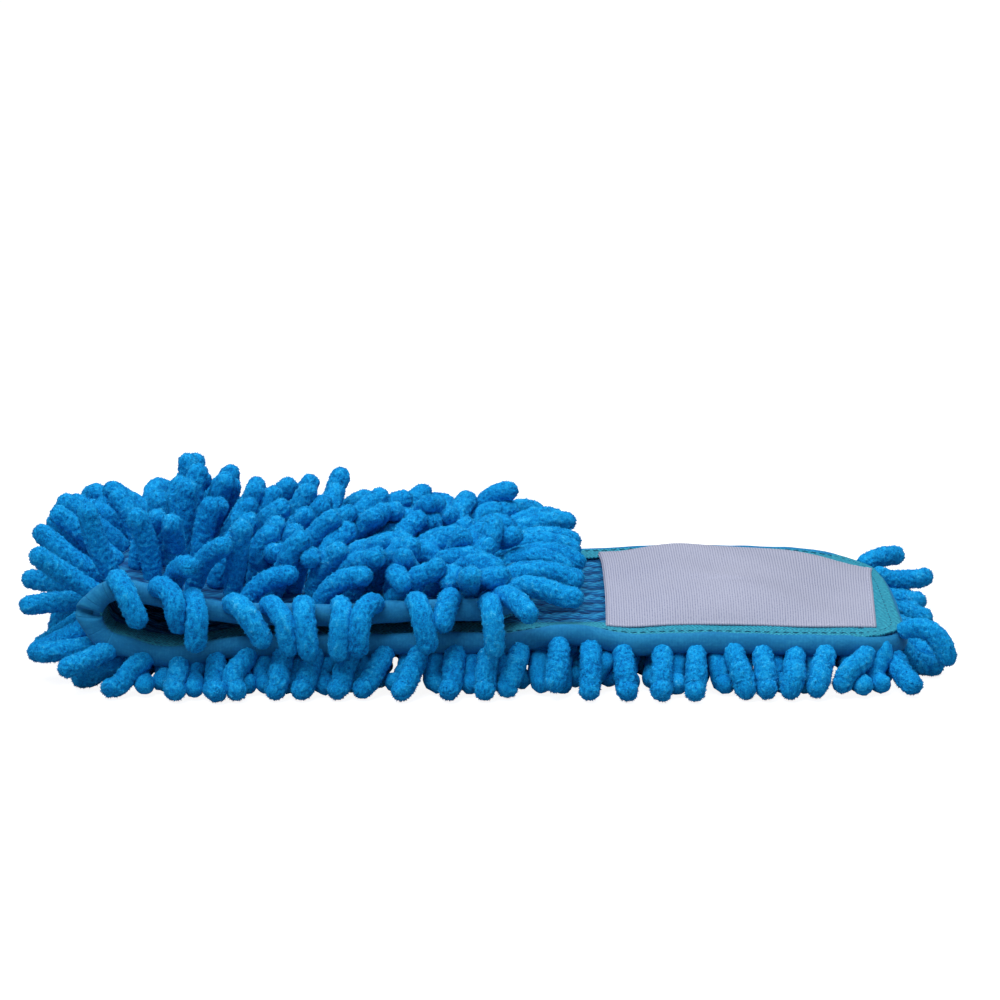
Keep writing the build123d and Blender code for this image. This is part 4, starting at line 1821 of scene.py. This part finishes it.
    def rod(self, data: MeshData, line: np.ndarray, radius: float, fine: bool) -> None:
        """Add one plush noodle round its centre line.

        Args:
            data: Mesh to add to.
            line: Settled points from root to the middle of the rounded tip.
            radius: Its radius.
            fine: Whether it shows closely enough for its tufts to be modelled in full.
        """
        scale = 1.0 if fine else self.coarse
        body, around, cap = int(self.rings * scale), int(self.around * scale), 8 if fine else 5
        centre = self.centre_line(line, body)
        tangent = unit(np.gradient(centre, axis=0))
        bow = np.sin(np.linspace(0, math.pi / 2, cap + 1))[1:]
        caps = centre[-1] + tangent[-1] * radius * bow[:, None]
        centre = np.concatenate([centre, caps])
        tangent = np.concatenate([tangent, np.repeat(tangent[-1:], cap, axis=0)])
        side = np.empty_like(tangent)
        side[0] = unit(np.cross(tangent[0], [0.0, 1.0, 0.0] if abs(tangent[0, 1]) < 0.8 else [1.0, 0.0, 0.0]))
        for index in range(1, len(tangent)):
            side[index] = unit(side[index - 1] - tangent[index] * (side[index - 1] @ tangent[index]))
        up = np.cross(tangent, side)
        share = np.concatenate([np.linspace(0, 1, body), np.ones(cap)])
        tip = np.cos(np.linspace(0, math.pi / 2, cap + 1))[1:]
        wide = np.interp(share, [0, 0.04, 0.2, 0.7, 1.0], [0.6, 0.84, 0.96, 1.02, 0.97])
        wide[body:] *= np.maximum(tip, 0.05)
        height, tone = self.plush(share, around, scale)
        height[body:] *= np.maximum(tip, 0.25)[:, None]
        angles = np.linspace(0, 2 * math.pi, around, endpoint=False)
        reach = radius * wide[:, None] + height
        reach[-1] = reach[-1].mean()
        ring = side[:, None] * np.cos(angles)[None, :, None] + up[:, None] * np.sin(angles)[None, :, None]
        points = centre[:, None] + reach[..., None] * ring
        points[body:] += tangent[body:, None] * height[body:, :, None] * bow[:, None, None]
        # Each noodle also gets a random tone of its own, added to its painted shade.
        tone = tone + self.rng.normal(0, 0.02)
        data.add_tube(points, fluff=tone)
        if fine:
            ahead = np.concatenate([np.zeros(body), bow])[:, None, None] * tangent[:, None]
            self.bristle(data, points, unit(ring * wide[:, None, None] + ahead), tone)

    def make(self) -> None:
        """Make every row of noodles as its own piece."""
        self.plant_lower()
        self.plant_lower_start()
        self.plant_lower_edges()
        self.plant_ends("lower", self.form.lower_length, lambda x: x, 0.2, 1.16)
        self.plant_corners()
        self.plant_flap()
        self.plant_flap_edges()
        self.plant_ends("flap", self.form.flap_length, self.form.flap_u, -0.55, 1.28)
        self.plant_fold()
        settled = self.settle()
        groups: dict[str, MeshData] = {}
        for tuft, line in zip(self.tufts, settled):
            inner = tuft.piece.startswith("lower") and tuft.piece[-2:] not in ("01", "11")
            hidden = inner and 10 * MM < tuft.u < self.form.lower_length - 20 * MM
            hidden = hidden or tuft.piece.endswith("under")
            data = groups.setdefault(tuft.piece, MeshData())
            self.rod(data, line, tuft.radius, fine=not hidden)
        for name, data in groups.items():
            nodes = [name] if name in frame["nodes"] else []
            piece = self.wardrobe.dress(data, name.replace("noodles", "chenille"), self.wardrobe.pile, nodes)
            prefix = name.split("_noodles")[0]
            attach(piece, "lower_panel" if prefix == "lower" else prefix)


# ---- Studio -----------------------------------------------------------------------------------------
@dataclass
class Studio:
    """Camera, soft lights and the pale floor."""

    centre: tuple[float, float, float] = (0.0087, -0.06, 0.0)
    elevation: float = 15.0
    distance: float = 1.1
    lens: float = 111.5
    lift: float = 0.0713

    def camera(self) -> None:
        """Make the camera, low in front of the mitt."""
        data = bpy.data.cameras.new("camera")
        data.lens = self.lens
        data.sensor_width = 36.0
        data.clip_start = 0.05
        camera = bpy.data.objects.new("camera", data)
        bpy.context.scene.collection.objects.link(camera)
        tilt = math.radians(self.elevation)
        back = Vector((0, -math.cos(tilt), math.sin(tilt)))
        target = Vector(self.centre) + Vector((0, 0, self.lift))
        camera.location = target + back * self.distance
        camera.rotation_euler = (-back).to_track_quat("-Z", "Y").to_euler()
        bpy.context.scene.camera = camera

    def light(self, name: str, place: tuple[float, float, float], size: float, power: float) -> None:
        """Add a soft square light that faces the mitt.

        Args:
            name: The light's name.
            place: Where it is.
            size: Length of its side.
            power: Its power, in watts.
        """
        data = bpy.data.lights.new(name, "AREA")
        data.size = size
        data.energy = power
        lamp = bpy.data.objects.new(name, data)
        bpy.context.scene.collection.objects.link(lamp)
        lamp.location = place
        lamp.rotation_euler = (Vector((0, 0, 0.02)) - Vector(place)).to_track_quat("-Z", "Y").to_euler()

    def floor(self) -> None:
        """Make the pale floor that the mitt lies on."""
        mesh = bpy.data.meshes.new("floor")
        far = 6.0
        mesh.from_pydata([(-far, -far, 0), (far, -far, 0), (far, far, 0), (-far, far, 0)], [], [(0, 1, 2, 3)])
        floor = bpy.data.objects.new("floor", mesh)
        bpy.context.scene.collection.objects.link(floor)
        material = bpy.data.materials.new("matt_white_floor")
        material.use_nodes = True
        tree = material.node_tree
        shader = tree.nodes["Principled BSDF"]
        shader.inputs["Base Color"].default_value = linear("9097a0")
        shader.inputs["Roughness"].default_value = 0.9
        shader.inputs["Specular IOR Level"].default_value = 0.1
        shader.inputs["Emission Color"].default_value = (1.0, 1.0, 1.0, 1.0)
        seen = add_node(tree, "ShaderNodeLightPath")
        glow = add_node(tree, "ShaderNodeMath", {0: (seen, "Is Camera Ray"), 1: 0.92}, operation="MULTIPLY")
        tree.links.new(glow.outputs[0], shader.inputs["Emission Strength"])
        mesh.materials.append(material)

    def world(self) -> None:
        """Make the plain white surroundings, brighter to look at than as a light."""
        world = bpy.data.worlds.new("studio")
        bpy.context.scene.world = world
        world.use_nodes = True
        tree = world.node_tree
        seen = add_node(tree, "ShaderNodeLightPath")
        strength = add_node(
            tree,
            "ShaderNodeMath",
            {0: (seen, "Is Camera Ray"), 1: 0.67, 2: 0.33},
            operation="MULTIPLY_ADD",
        )
        background = tree.nodes["Background"]
        background.inputs["Color"].default_value = (1.0, 1.0, 1.0, 1.0)
        tree.links.new(strength.outputs[0], background.inputs["Strength"])

    def make(self) -> None:
        """Make the whole studio."""
        self.camera()
        self.light("key", (-0.35, -0.55, 1.25), 0.8, 13.0)
        self.light("top", (0.25, 0.15, 1.3), 1.0, 9.5)
        self.floor()
        self.world()
        bpy.context.scene.view_settings.view_transform = "Standard"


# ---- The whole mitt ---------------------------------------------------------------------------------
@dataclass
class WashMitt:
    """The whole mitt: cloth, pockets, seams and noodles."""

    form: MittForm
    wardrobe: Wardrobe

    def make_cloth(self) -> None:
        """Make the ground cloth, facing and binding of both panels and of the fold."""
        form = self.form
        maker = ClothMaker(form, self.wardrobe)
        lower = Panel(form, "lower", form.lower_length, 1, 0.0)
        flap = Panel(form, "flap", form.flap_length, -1, form.flap_u(0.0))
        fold = Fold(form)
        half = form.strip / 2
        heights = (form.base + 0.7 * MM, form.base + 1.5 * MM, 4.4 * MM)
        for hinge in range(2, len(form.hinges)):
            start, end = fold.reach(hinge)
            names = [f"fold_{hinge - 1}_{kind}" for kind in ("base_cloth", "facing", "binding")]
            pieces = (
                maker.ground(f"fold_ground_cloth_{hinge}", (start, end), None, names[:1]),
                maker.facing(f"fold_facing_tape_{hinge}", (end, start), None, names[1:2]),
                maker.fold_binding(f"fold_binding_roll_{hinge}", (start, end), names[2:]),
            )
            for piece, height in zip(pieces, heights):
                fold.bend(piece, hinge, height)
        for panel, strips in ((lower, []), (flap, [len(form.hinges) - 1])):
            name = panel.name
            ground_nodes = [f"{name}_base_cloth"] + [f"fold_{n}_base_cloth" for n in strips]
            facing_nodes = [f"{name}_facing"] + [f"fold_{n}_facing" for n in strips]
            binding_nodes = [f"{name}_binding_{side}" for side in ("front", "back", "end")]
            binding_nodes += [f"fold_{n}_binding" for n in strips]
            reach = (-half, panel.length - form.cloth_inset)
            ground = maker.ground(f"{name}_ground_cloth", reach, panel, ground_nodes)
            u_range = (panel.u(-half), panel.u(panel.length - maker.end_strip + maker.end_tuck))
            u_range = u_range if panel.sign > 0 else u_range[::-1]
            facing = maker.facing(f"{name}_facing_tape", u_range, panel, facing_nodes)
            binding = maker.binding(f"{name}_binding_roll", panel, binding_nodes)
            seam = maker.binding_seam(f"{name}_binding_stitches", panel)
            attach(seam, "lower_panel" if panel is lower else "flap")
            for piece, height in zip((ground, facing, binding), heights):
                panel.settle(piece, height)
            rise, mouth = (8.5 * MM, 0.35) if panel is lower else (2.8 * MM, 0.9)
            Pocket(maker, panel, rise, mouth).make()

    def make(self) -> None:
        """Make the mitt."""
        self.make_cloth()
        Thicket(self.form, self.wardrobe).make()


def main() -> None:
    """Build the studio and the mitt."""
    logging.basicConfig(level=logging.INFO, format="%(name)s %(message)s")
    Studio().make()
    WashMitt(MittForm(), Wardrobe()).make()


if __name__ == "__main__":
    main()
